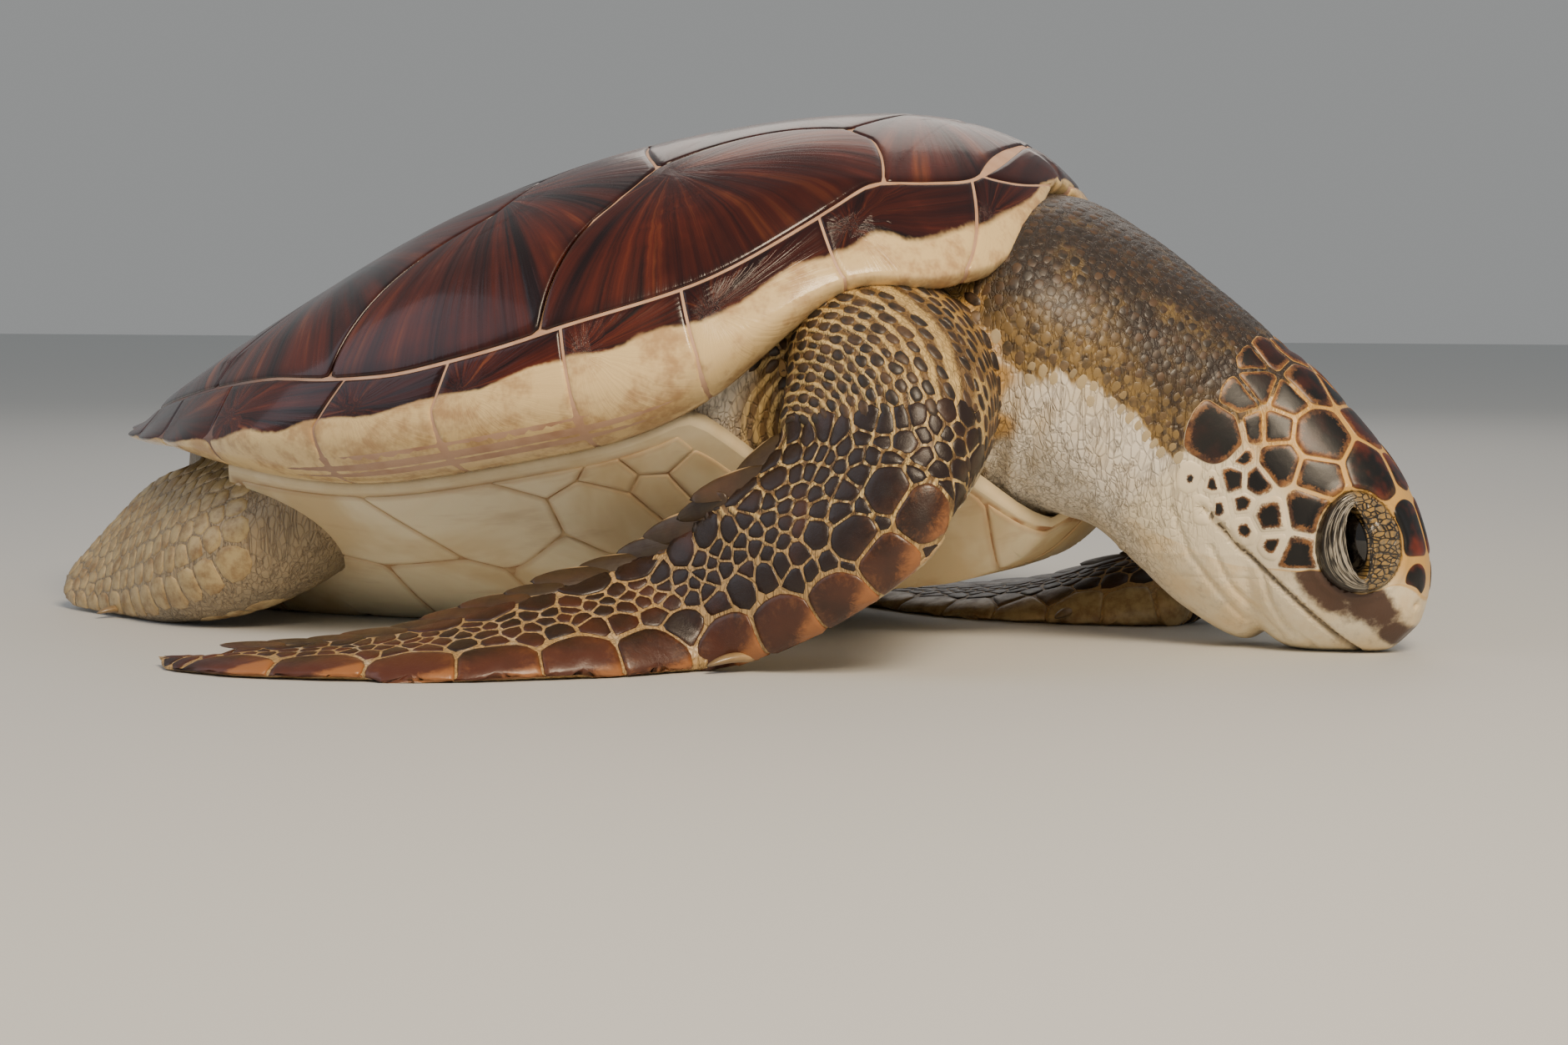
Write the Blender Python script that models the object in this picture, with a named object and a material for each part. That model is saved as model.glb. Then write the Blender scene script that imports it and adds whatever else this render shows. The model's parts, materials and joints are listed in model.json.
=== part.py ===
# Green sea turtle, life size, lying on a flat floor with its head lowered.
# +X is forward, +Y is the animal's left, +Z is up, all lengths in metres.
import math

import bmesh
import bpy
import numpy as np
from mathutils import Vector

# Driving sizes
shell_length = 0.58
shell_pitch = math.radians(9.9)
shell_lift = 0.124
shell_wall = 0.008
dome_roundness = 2.48
dome_fullness = 0.54
marginal_start = 0.86
rear_serration = 0.0042
plate_wall = 0.007
head_start = 0.169
head_slope = math.radians(45.0)
mouth_height = 0.2965
eye_radius = 0.0150
eye_along = 0.091
eye_height = 0.3385
eye_side = 0.0222
gap = 0.00035

# Rim of the carapace, left half from the nape to the tail, in shell lengths:
# place along the rim (whole numbers are plate seams), forward, sideways, up.
rim_rows = (
    (0.0, 0.472, 0.000, 0.097), (1.0, 0.472, 0.026, 0.094), (1.3, 0.473, 0.060, 0.077),
    (1.6, 0.470, 0.104, 0.053), (1.85, 0.459, 0.148, 0.030), (2.0, 0.445, 0.178, 0.026),
    (3.0, 0.375, 0.265, 0.030), (4.0, 0.270, 0.335, -0.013), (5.0, 0.150, 0.378, -0.020),
    (6.0, 0.020, 0.390, -0.021), (7.0, -0.110, 0.375, -0.015), (8.0, -0.225, 0.325, -0.006),
    (9.0, -0.322, 0.255, 0.008), (10.0, -0.408, 0.175, 0.021), (11.0, -0.475, 0.080, 0.036),
    (12.0, -0.505, 0.000, 0.043),
)
# Ridge line of the dome, in shell lengths: forward, up.
ridge_rows = (
    (-0.505, 0.046), (-0.420, 0.065), (-0.300, 0.095), (-0.150, 0.135), (0.000, 0.176),
    (0.150, 0.195), (0.300, 0.190), (0.400, 0.175), (0.475, 0.158),
)
# Underside of the belly plate on the middle line: forward, up.
keel_rows = (
    (-0.245, 0.016), (-0.200, 0.003), (-0.160, 0.000), (-0.080, 0.000), (0.000, 0.005),
    (0.060, 0.012), (0.120, 0.018), (0.180, 0.023), (0.230, 0.031), (0.258, 0.044),
    (0.276, 0.061),
)
# Half width of the two belly lobes without the bridges: forward, sideways.
lobe_rows = (
    (-0.245, 0.012), (-0.225, 0.048), (-0.190, 0.074), (-0.140, 0.096), (0.150, 0.108),
    (0.200, 0.104), (0.240, 0.086), (0.260, 0.062), (0.270, 0.041), (0.276, 0.022),
)


def curve(rows, x, column=1):
    """Smooth curve through the rows, first column against another one."""
    table = np.array(rows, float)
    kx = table[:, 0]
    ky = table[:, column]
    slope = np.gradient(ky, kx)
    x = np.clip(np.asarray(x, float), kx[0], kx[-1])
    i = np.clip(np.searchsorted(kx, x) - 1, 0, len(kx) - 2)
    h = kx[i + 1] - kx[i]
    u = (x - kx[i]) / h
    a = (1 + 2 * u) * (1 - u) ** 2 * ky[i]
    b = u * (1 - u) ** 2 * h * slope[i]
    c = u * u * (3 - 2 * u) * ky[i + 1]
    d = u * u * (u - 1) * h * slope[i + 1]
    return a + b + c + d


def smooth(low, high, x):
    u = np.clip((np.asarray(x, float) - low) / (high - low), 0.0, 1.0)
    return u * u * (3 - 2 * u)


def rim_point(t):
    return curve(rim_rows, t, 1), curve(rim_rows, t, 2), curve(rim_rows, t, 3)


def bridge_share(t):
    """One beside the bridges, zero at the nape and the tail."""
    return smooth(2.8, 5.0, t) * (1 - smooth(6.2, 9.0, t))


def to_body(points):
    """From the level shell, in metres, to the shell as it is carried."""
    c, s = math.cos(shell_pitch), math.sin(shell_pitch)
    x, y, z = points[..., 0], points[..., 1], points[..., 2]
    return np.stack([x * c - z * s, y, x * s + z * c + shell_lift], -1)


def dome(t, r):
    """Outer face of the carapace: t along the rim, r from the ridge (0) to the rim (1)."""
    rx, ry, rz = rim_point(t)
    cx = 0.62 * rx
    x = cx + (rx - cx) * r
    y = ry * r
    round_edge = (1 - np.clip(r, 0, 1) ** dome_roundness) ** dome_fullness
    seam = (1 - marginal_start ** dome_roundness) ** dome_fullness
    flat_edge = seam * (1 - r) / (1 - marginal_start)
    flare = 0.85 * smooth(0.8, 3.0, t) * (1 - bridge_share(t)) * (r > marginal_start)
    rise = round_edge + (flat_edge - round_edge) * flare
    z = rz + (curve(ridge_rows, x) - rz) * rise
    return np.stack([x, y, z], -1) * shell_length


def rim_out(t):
    """Outward direction of the rim in plan."""
    rx, ry, rz = rim_point(t)
    cx = 0.62 * rx
    d = np.stack([rx - cx, ry, 0 * rx], -1)
    return d / np.linalg.norm(d, axis=-1, keepdims=True)


def under_edge(t):
    """Inner end of the folded under face of the edge plates."""
    share = bridge_share(t)[..., None]
    rim = dome(t, 1.0 + 0 * t)
    down = np.array([0.0, 0.0, 1.0])
    return rim - rim_out(t) * (0.012 + 0.016 * share) - down * (0.006 + 0.024 * share)


def column(t):
    """One closed section of the carapace, ridge outside to ridge inside."""
    up = np.array([0.0, 0.0, 1.0])
    share = bridge_share(t)
    out = rim_out(t)
    rows = [dome(t, r + 0 * t) for r in (0.14, 0.34, 0.52, 0.68, 0.80, 0.89, 0.96)]
    rim = dome(t, 1.0 + 0 * t)
    tooth = rear_serration * smooth(6.5, 8.5, t) * np.abs(np.sin(np.pi * t))
    rows.append(rim + out * (tooth + 0.001)[:, None] - up * 0.002)
    rows.append(rim - out * 0.002 + out * tooth[:, None] - up * (0.005 + 0.009 * share)[:, None])
    rows.append(under_edge(t))
    for r in (0.93, 0.84, 0.66, 0.44, 0.20):
        inset = out * (shell_wall * r)
        drop = up * shell_wall * (1 - 0.4 * r)
        rows.append(dome(t, r + 0 * t) - inset - drop)
    return rows


def two_sides(rows):
    """Left half columns joined with their mirror images into full rings."""
    rings = []
    for row in rows:
        left = to_body(row)
        right = left[-2:0:-1] * np.array([1.0, -1.0, 1.0])
        rings.append(np.concatenate([left, right]))
    return rings


def principled(name, colour, roughness, metallic=0.0):
    material = bpy.data.materials.new(name)
    material.use_nodes = True
    shader = material.node_tree.nodes["Principled BSDF"]
    shader.inputs["Base Color"].default_value = (*colour, 1.0)
    shader.inputs["Roughness"].default_value = roughness
    shader.inputs["Metallic"].default_value = metallic
    material.diffuse_color = (*colour, 1.0)
    return material


def build(name, verts, faces, look):
    mesh = bpy.data.meshes.new(name)
    mesh.from_pydata([tuple(map(float, v)) for v in verts], [], faces)
    mesh.validate()
    shape = bmesh.new()
    shape.from_mesh(mesh)
    bmesh.ops.remove_doubles(shape, verts=shape.verts, dist=0.00002)
    bmesh.ops.triangulate(shape, faces=shape.faces)
    bmesh.ops.dissolve_degenerate(shape, dist=0.00002, edges=shape.edges)
    bmesh.ops.recalc_face_normals(shape, faces=shape.faces)
    if shape.calc_volume(signed=True) < 0:
        bmesh.ops.reverse_faces(shape, faces=shape.faces)
    shape.to_mesh(mesh)
    shape.free()
    obj = bpy.data.objects.new(name, mesh)
    bpy.context.collection.objects.link(obj)
    if look:
        mesh.materials.append(principled("mat_" + name, *look))
    return obj


def loft(name, rings, look=None):
    """Closed tube through rings of equal length with a fan on each end."""
    rings = [np.asarray(r, float) for r in rings]
    n = len(rings[0])
    verts = list(np.concatenate(rings))
    faces = []
    for i in range(len(rings) - 1):
        for k in range(n):
            k2 = (k + 1) % n
            faces.append((i * n + k, i * n + k2, (i + 1) * n + k2, (i + 1) * n + k))
    first = len(verts)
    verts.append(rings[0].mean(0))
    verts.append(rings[-1].mean(0))
    last_ring = (len(rings) - 1) * n
    for k in range(n):
        k2 = (k + 1) % n
        faces.append((first, k2, k))
        faces.append((first + 1, last_ring + k, last_ring + k2))
    return build(name, verts, faces, look)


def fin_rings(rows, around=14, steps=2, blunt=0.30, floor=True):
    """Sections of a limb.  Each row: leading edge x y z, trailing edge x y z, thickness."""
    rows = np.array(rows, float)
    s = np.arange(len(rows))
    table = np.column_stack([s, rows])
    fine = np.linspace(0, len(rows) - 1, (len(rows) - 1) * steps + 1)
    dense = np.stack([curve(table, fine, k) for k in range(1, 8)], -1)
    lead, trail, thick = dense[:, 0:3], dense[:, 3:6], dense[:, 6]
    middle = (lead + trail) / 2
    axis = np.gradient(middle, axis=0)
    chord = trail - lead
    normal = np.cross(axis, chord)
    normal /= np.linalg.norm(normal, axis=1, keepdims=True)
    angle = np.linspace(0, 2 * np.pi, around, endpoint=False)
    along = (1 - np.cos(angle)) / 2
    taper = 1 - (1 - blunt) * along ** 1.5
    rings = []
    for i in range(len(fine)):
        across = np.sin(angle) * taper * thick[i] / 2
        ring = lead[i] + along[:, None] * chord[i] + across[:, None] * normal[i]
        if floor:
            ring[:, 2] = np.maximum(ring[:, 2], 0.0)
        rings.append(ring)
    return rings


def oval_rings(rows, around=20, steps=2, power=2.2, floor=True):
    """Sections of the neck: top x z, bottom x z, half width, all about the middle plane."""
    rows = np.array(rows, float)
    table = np.column_stack([np.arange(len(rows)), rows])
    fine = np.linspace(0, len(rows) - 1, (len(rows) - 1) * steps + 1)
    dense = np.stack([curve(table, fine, k) for k in range(1, 6)], -1)
    angle = np.linspace(0, 2 * np.pi, around, endpoint=False)
    c, s = np.cos(angle), np.sin(angle)
    c = np.sign(c) * np.abs(c) ** (2 / power)
    s = np.sign(s) * np.abs(s) ** (2 / power)
    rings = []
    for tx, tz, bx, bz, half in dense:
        x = (tx + bx) / 2 + c * (tx - bx) / 2
        z = (tz + bz) / 2 + c * (tz - bz) / 2
        ring = np.stack([x, s * half, z], -1)
        if floor:
            ring[:, 2] = np.maximum(ring[:, 2], 0.0)
        rings.append(ring)
    return rings


def head_to_body(along, side, height):
    """Head frame (forward from the nape, left, up) to the body frame."""
    a = head_start + np.asarray(along, float)
    c, s = math.cos(head_slope), math.sin(head_slope)
    height = np.asarray(height, float)
    return np.stack([a * c + height * s, side + 0 * a, -a * s + height * c], -1)


def grown(obj, amount=gap):
    """A copy of a solid pushed out along its vertex normals."""
    mesh = obj.data.copy()
    copy = bpy.data.objects.new(obj.name + "_grown", mesh)
    bpy.context.collection.objects.link(copy)
    shape = bmesh.new()
    shape.from_mesh(mesh)
    shape.normal_update()
    moved = [v.co + v.normal * amount * v.calc_shell_factor() for v in shape.verts]
    for v, co in zip(shape.verts, moved):
        v.co = co
    shape.to_mesh(mesh)
    shape.free()
    return copy


def settle(obj):
    """Bake the modifiers, merge slivers and keep the largest body."""
    graph = bpy.context.evaluated_depsgraph_get()
    mesh = bpy.data.meshes.new_from_object(obj.evaluated_get(graph))
    obj.modifiers.clear()
    obj.data = mesh
    shape = bmesh.new()
    shape.from_mesh(mesh)
    bmesh.ops.remove_doubles(shape, verts=shape.verts, dist=0.00003)
    bmesh.ops.triangulate(shape, faces=shape.faces)
    bmesh.ops.dissolve_degenerate(shape, dist=0.00003, edges=shape.edges)
    left = set(shape.verts)
    groups = []
    while left:
        seed = left.pop()
        group = {seed}
        front = [seed]
        while front:
            v = front.pop()
            for edge in v.link_edges:
                other = edge.other_vert(v)
                if other in left:
                    left.discard(other)
                    group.add(other)
                    front.append(other)
        groups.append(group)
    groups.sort(key=len)
    for group in groups[:-1]:
        bmesh.ops.delete(shape, geom=list(group), context="VERTS")
    bmesh.ops.triangulate(shape, faces=shape.faces)
    bmesh.ops.recalc_face_normals(shape, faces=shape.faces)
    if shape.calc_volume(signed=True) < 0:
        bmesh.ops.reverse_faces(shape, faces=shape.faces)
    shape.to_mesh(mesh)
    shape.free()
    return obj


def thin_out(obj, angle=0.035):
    """Merge the nearly flat slivers that the cuts leave."""
    shape = bmesh.new()
    shape.from_mesh(obj.data)
    bmesh.ops.dissolve_limit(shape, angle_limit=angle, verts=shape.verts, edges=shape.edges)
    bmesh.ops.triangulate(shape, faces=shape.faces)
    closed = all(len(edge.link_faces) == 2 for edge in shape.edges)
    if closed and shape.calc_volume(signed=True) > 0:
        shape.to_mesh(obj.data)
    shape.free()


def combine(obj, cutters, operation="DIFFERENCE"):
    for cutter in cutters:
        step = obj.modifiers.new("cut", "BOOLEAN")
        step.operation = operation
        step.solver = "EXACT"
        step.object = cutter
        settle(obj)
    return obj


def cut_by(obj, tools):
    """Take the grown copies of the neighbours out of a solid."""
    return combine(obj, [raw[name] for name in tools])


raw = {}


def keep(obj, amount=gap):
    """Store a grown copy of a solid before anything is cut from it."""
    raw[obj.name] = grown(obj, amount)
    return obj


def ball(name, centre, radius, look=None, squash=(1, 1, 1)):
    rings = []
    for v in np.linspace(0.14, math.pi - 0.14, 7):
        angle = np.linspace(0, 2 * np.pi, 12, endpoint=False)
        flat = np.sin(v)
        ring = np.stack([flat * np.cos(angle), np.cos(v) + 0 * angle, flat * np.sin(angle)], -1)
        rings.append(ring * radius * np.array(squash) + np.array(centre))
    return loft(name, rings, look)


def prism(name, outline, half):
    """Straight cutter across the head from an outline in head coordinates."""
    rings = []
    for side in (-half, half):
        rings.append(np.stack([head_to_body(a, side, b) for a, b in outline]))
    return loft(name, rings)


def mirrored(rows):
    """The same limb rows for the other side of the body."""
    flip = np.array([1.0, -1.0, 1.0, 1.0, -1.0, 1.0, 1.0])
    return np.array(rows, float) * flip


for obj in list(bpy.data.objects):
    bpy.data.objects.remove(obj)

brown = (0.055, 0.022, 0.014)
cream = (0.78, 0.66, 0.42)
hide = (0.20, 0.15, 0.10)
dark_hide = (0.075, 0.050, 0.036)

# Carapace: one bowl with folded edge plates and a toothed rear rim.
t = np.linspace(0.0, 12.0, 25)
shell_rings = two_sides(column(t))
carapace = keep(loft("carapace", shell_rings, (brown, 0.22)))

# Belly plate with its two bridges up to the edge plates.
edge = to_body(under_edge(np.linspace(3.0, 8.6, 40)))
order = np.argsort(edge[:, 0])
edge = edge[order]
bridge_front, bridge_rear = 0.150, -0.135


def belly_half(x):
    lobe = curve(lobe_rows, x)
    reach = np.interp(x, edge[:, 0], edge[:, 1]) - 0.0015
    share = smooth(bridge_rear - 0.030, bridge_rear + 0.012, x)
    share = share * (1 - smooth(bridge_front - 0.012, bridge_front + 0.030, x))
    return lobe + (reach - lobe) * share


def belly_height(x, y):
    """Underside of the belly plate anywhere below the shell."""
    low = curve(keel_rows, x)
    reach = np.interp(x, edge[:, 0], edge[:, 1])
    top = np.interp(x, edge[:, 0], edge[:, 2]) - 0.004
    flat = 0.080 - 0.040 * smooth(0.10, 0.22, x)
    u = np.clip((np.abs(y) - flat) / np.maximum(reach - flat, 0.02), 0, 1.3)
    return np.maximum(low + (top - low) * u ** 1.25, 0.0)


stations = np.concatenate([
    np.linspace(-0.244, -0.180, 4), np.linspace(-0.155, -0.120, 3), np.linspace(-0.09, 0.12, 6),
    np.linspace(0.142, 0.178, 3), np.linspace(0.20, 0.245, 4), np.array([0.258, 0.268, 0.2755])])
across = np.sin(np.linspace(-math.pi / 2, math.pi / 2, 13))
plate_rings = []
for x in stations:
    half = float(belly_half(x))
    y = across * half
    low = belly_height(x, y)
    steep = np.abs(np.gradient(low, y))
    high = low + plate_wall * np.sqrt(1 + steep ** 2)
    shift = np.abs(across) ** 8 * 0.0012
    bottom = np.stack([x + 0 * y, y, low + shift], -1)
    top = np.stack([x + 0 * y, y, high - shift], -1)
    plate_rings.append(np.concatenate([bottom, top[::-1]]))
plastron = keep(loft("plastron", plate_rings, (cream, 0.45)), 2.5 * gap)
cut_by(plastron, ["carapace"])

# Head, lower jaw and eyes.
head_rows = (
    (-0.022, 0.351, 0.285, 0.026), (-0.010, 0.3645, 0.276, 0.035), (0.010, 0.3705, 0.270, 0.0410),
    (0.030, 0.3700, 0.268, 0.0435), (0.050, 0.3690, 0.267, 0.0440), (0.070, 0.3670, 0.266, 0.0425),
    (0.086, 0.3630, 0.2665, 0.0395), (0.100, 0.3570, 0.270, 0.0350), (0.112, 0.3500, 0.280, 0.0290),
    (0.122, 0.3415, 0.291, 0.0225), (0.129, 0.3330, 0.298, 0.0160), (0.134, 0.3240, 0.305, 0.0090),
)
head_table = np.array(head_rows)
stops = np.concatenate([np.linspace(-0.022, 0.10, 9), np.array([0.110, 0.119, 0.127, 0.134])])
turn = np.linspace(0, 2 * np.pi, 22, endpoint=False)
head_rings = []
for a in stops:
    top = float(curve(head_table, a, 1))
    low = float(curve(head_table, a, 2))
    half = float(curve(head_table, a, 3))
    c, s = np.cos(turn), np.sin(turn)
    up = np.sign(c) * np.abs(c) ** 0.90
    width = half * np.sign(s) * np.abs(s) ** 0.86 * (1 - 0.10 * np.maximum(c, 0))
    ring = head_to_body(a + 0 * turn, width, (top + low) / 2 + up * (top - low) / 2)
    ring[:, 2] = np.maximum(ring[:, 2], 0.0)
    head_rings.append(ring)
head = keep(loft("head", head_rings, (dark_hide, 0.40)))
lower_jaw = loft("lower_jaw", head_rings, (cream, 0.40))
jaw_outline = (
    (0.040, 0.235), (0.034, 0.280), (0.052, 0.2875), (0.068, mouth_height), (0.150, mouth_height),
    (0.150, 0.235),
)
jaw_tool = keep(prism("jaw_tool", jaw_outline, 0.08))
cut_by(head, ["jaw_tool"])
combine(lower_jaw, [jaw_tool], "INTERSECT")
bpy.data.objects.remove(jaw_tool)
eyes = []
for side, word in ((1, "left"), (-1, "right")):
    centre = head_to_body(eye_along, side * eye_side, eye_height)
    eyes.append(keep(ball("eye_" + word, centre, eye_radius, ((0.012, 0.009, 0.008), 0.06))))
cut_by(head, ["eye_left", "eye_right"])

# Front limbs: shoulder with upper arm, then the blade.
arm_right_rows = (
    (0.215, -0.070, 0.075, 0.160, -0.070, 0.185, 0.090), (0.246, -0.112, 0.077, 0.172, -0.108, 0.184, 0.108),
    (0.268, -0.148, 0.078, 0.180, -0.142, 0.166, 0.100), (0.279, -0.173, 0.078, 0.184, -0.165, 0.128, 0.074),
    (0.279, -0.192, 0.072, 0.186, -0.182, 0.104, 0.050),
)
blade_right_rows = (
    (0.280, -0.182, 0.080, 0.192, -0.166, 0.104, 0.052), (0.272, -0.192, 0.058, 0.180, -0.184, 0.090, 0.036),
    (0.247, -0.199, 0.036, 0.165, -0.192, 0.078, 0.027), (0.211, -0.201, 0.015, 0.143, -0.188, 0.062, 0.021),
    (0.171, -0.205, 0.001, 0.116, -0.190, 0.047, 0.018), (0.130, -0.255, 0.000, 0.077, -0.224, 0.031, 0.0145),
    (0.070, -0.298, 0.000, 0.024, -0.254, 0.015, 0.0115), (-0.004, -0.318, 0.000, -0.040, -0.283, 0.008, 0.0085),
    (-0.056, -0.313, 0.000, -0.075, -0.296, 0.005, 0.0050),
)
arm_left_rows = (
    (0.150, 0.105, 0.085, 0.130, 0.130, 0.150, 0.070), (0.200, 0.125, 0.070, 0.185, 0.155, 0.130, 0.075),
    (0.250, 0.120, 0.050, 0.250, 0.158, 0.100, 0.066), (0.292, 0.096, 0.026, 0.300, 0.145, 0.070, 0.056),
    (0.318, 0.066, 0.012, 0.334, 0.118, 0.048, 0.044),
)
blade_left_rows = (
    (0.312, 0.072, 0.012, 0.328, 0.125, 0.052, 0.048), (0.302, 0.054, 0.002, 0.308, 0.112, 0.040, 0.036),
    (0.268, 0.042, 0.000, 0.262, 0.104, 0.030, 0.024), (0.222, 0.038, 0.000, 0.212, 0.104, 0.016, 0.014),
    (0.168, 0.048, 0.000, 0.150, 0.114, 0.009, 0.0100), (0.105, 0.086, 0.000, 0.078, 0.146, 0.009, 0.0090),
    (0.045, 0.140, 0.000, 0.010, 0.192, 0.012, 0.0085), (-0.008, 0.200, 0.000, -0.040, 0.236, 0.010, 0.0075),
    (-0.045, 0.246, 0.000, -0.060, 0.262, 0.006, 0.0050),
)
blade_right = keep(loft("flipper_front_right", fin_rings(blade_right_rows), (dark_hide, 0.45)))
blade_left = keep(loft("flipper_front_left", fin_rings(blade_left_rows, blunt=0.45), (dark_hide, 0.45)))
arm_right = keep(loft("upper_arm_right", fin_rings(arm_right_rows, blunt=0.9), (hide, 0.55)))
arm_left = keep(loft("upper_arm_left", fin_rings(arm_left_rows, blunt=0.9), (hide, 0.55)))

# Hind limbs: thigh and foot in one.
hind_rows = (
    (-0.060, -0.135, 0.055, -0.060, -0.085, 0.100, 0.060), (-0.085, -0.162, 0.034, -0.092, -0.100, 0.098, 0.075),
    (-0.125, -0.172, 0.014, -0.138, -0.108, 0.090, 0.072), (-0.168, -0.162, 0.003, -0.180, -0.106, 0.082, 0.054),
    (-0.203, -0.148, 0.000, -0.216, -0.104, 0.073, 0.032), (-0.232, -0.137, 0.000, -0.244, -0.104, 0.053, 0.018),
    (-0.256, -0.128, 0.001, -0.266, -0.105, 0.033, 0.0110), (-0.274, -0.119, 0.004, -0.279, -0.108, 0.019, 0.0060),
)
hind_right = keep(loft("flipper_hind_right", fin_rings(hind_rows, 12, blunt=0.55), (dark_hide, 0.45)))
hind_left = keep(loft("flipper_hind_left", fin_rings(mirrored(hind_rows), 12, blunt=0.55), (dark_hide, 0.45)))

# Claws: one on the leading edge of each flipper.
claws = []


def claw(name, base, tip, width):
    base, tip = np.array(base, float), np.array(tip, float)
    axis = tip - base
    side = np.cross(axis, (0.0, 0.0, 1.0))
    side /= np.linalg.norm(side)
    other = np.cross(axis, side)
    other /= np.linalg.norm(other)
    angle = np.linspace(0, 2 * np.pi, 10, endpoint=False)
    rings = []
    for u, size in ((0.0, 0.8), (0.35, 1.0), (0.75, 0.6), (1.0, 0.15)):
        circle = np.cos(angle)[:, None] * side + 0.6 * np.sin(angle)[:, None] * other
        ring = base + axis * u + circle * width / 2 * size
        ring[:, 2] = np.maximum(ring[:, 2], 0.0)
        rings.append(ring)
    return keep(loft(name, rings, ((0.50, 0.36, 0.20), 0.35)))


claws.append(claw("claw_front_right", (0.184, -0.201, 0.0070), (0.172, -0.217, 0.0040), 0.008))
claws.append(claw("claw_front_left", (0.252, 0.050, 0.0060), (0.247, 0.033, 0.0040), 0.009))
claws.append(claw("claw_hind_right", (-0.214, -0.140, 0.0040), (-0.221, -0.156, 0.0030), 0.007))
claws.append(claw("claw_hind_left", (-0.214, 0.140, 0.0040), (-0.221, 0.156, 0.0030), 0.007))

# Tail
tail_rows = (
    (-0.190, 0.070, -0.195, 0.026, 0.026), (-0.225, 0.060, -0.228, 0.024, 0.020),
    (-0.252, 0.050, -0.256, 0.022, 0.014), (-0.275, 0.038, -0.279, 0.020, 0.009),
    (-0.288, 0.028, -0.290, 0.019, 0.004),
)
tail = keep(loft("tail", oval_rings(tail_rows, around=14, steps=2, power=2.0), (hide, 0.55)))

# Neck
neck_rows = (
    (0.205, 0.214, 0.215, 0.052, 0.088), (0.260, 0.221, 0.262, 0.060, 0.092), (0.298, 0.2035, 0.288, 0.055, 0.084),
    (0.335, 0.1775, 0.308, 0.037, 0.067), (0.364, 0.155, 0.330, 0.017, 0.052), (0.386, 0.132, 0.360, 0.003, 0.042),
    (0.394, 0.112, 0.376, 0.020, 0.026),
)
neck = keep(loft("neck", oval_rings(neck_rows, 18), (hide, 0.60)))

# Trunk between the plates.
tt = np.linspace(0.0, 12.0, 13)
up = np.array([0.0, 0.0, 1.0])
tops, lows = [], []
for r in (0.20, 0.44, 0.66, 0.84):
    inset = rim_out(tt) * (shell_wall * r + 0.0006)
    drop = up * (shell_wall * (1 - 0.4 * r) + 0.0006)
    tops.append(dome(tt, r + 0 * tt) - inset - drop)
top_rings = two_sides(tops)
trunk_rings = [ring.copy() for ring in top_rings]
for ring in reversed(top_rings):
    floor_z = belly_height(ring[:, 0], ring[:, 1]) + plate_wall * 1.25 + 0.0030
    low_ring = ring.copy()
    low_ring[:, 2] = np.minimum(floor_z, ring[:, 2] - 0.004)
    trunk_rings.append(low_ring)
trunk = loft("trunk", trunk_rings, (hide, 0.60))

# Each solid gives way to the ones listed before it.
cut_by(blade_right, ["claw_front_right"])
cut_by(blade_left, ["claw_front_left", "plastron"])
cut_by(hind_right, ["claw_hind_right", "carapace", "plastron"])
cut_by(hind_left, ["claw_hind_left", "carapace", "plastron"])
cut_by(arm_right, ["carapace", "plastron", "flipper_front_right"])
cut_by(arm_left, ["carapace", "plastron", "flipper_front_left"])
cut_by(neck, ["carapace", "plastron", "head", "upper_arm_left", "flipper_front_left", "upper_arm_right"])
cut_by(tail, ["carapace", "plastron"])
cut_by(trunk, ["carapace", "plastron", "neck", "upper_arm_left", "upper_arm_right"])
cut_by(trunk, ["flipper_hind_left", "flipper_hind_right", "tail"])
for tool in raw.values():
    bpy.data.objects.remove(tool)
for obj in (trunk, tail):
    thin_out(obj)
for obj in (head, neck, plastron, hind_left, hind_right, arm_left, arm_right, blade_left, blade_right):
    thin_out(obj, 0.012)

# Origin under the middle of the whole animal, soles on the floor.
parts = [o for o in bpy.data.objects if o.type == "MESH"]
corners = np.concatenate([np.array([v.co[:] for v in o.data.vertices]) for o in parts])
low, high = corners.min(0), corners.max(0)
shift = Vector((-(low[0] + high[0]) / 2, -(low[1] + high[1]) / 2, -low[2]))
for obj in parts:
    for vertex in obj.data.vertices:
        vertex.co += shift
    for polygon in obj.data.polygons:
        polygon.use_smooth = True
    obj.data.update()
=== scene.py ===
import json
import math

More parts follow.
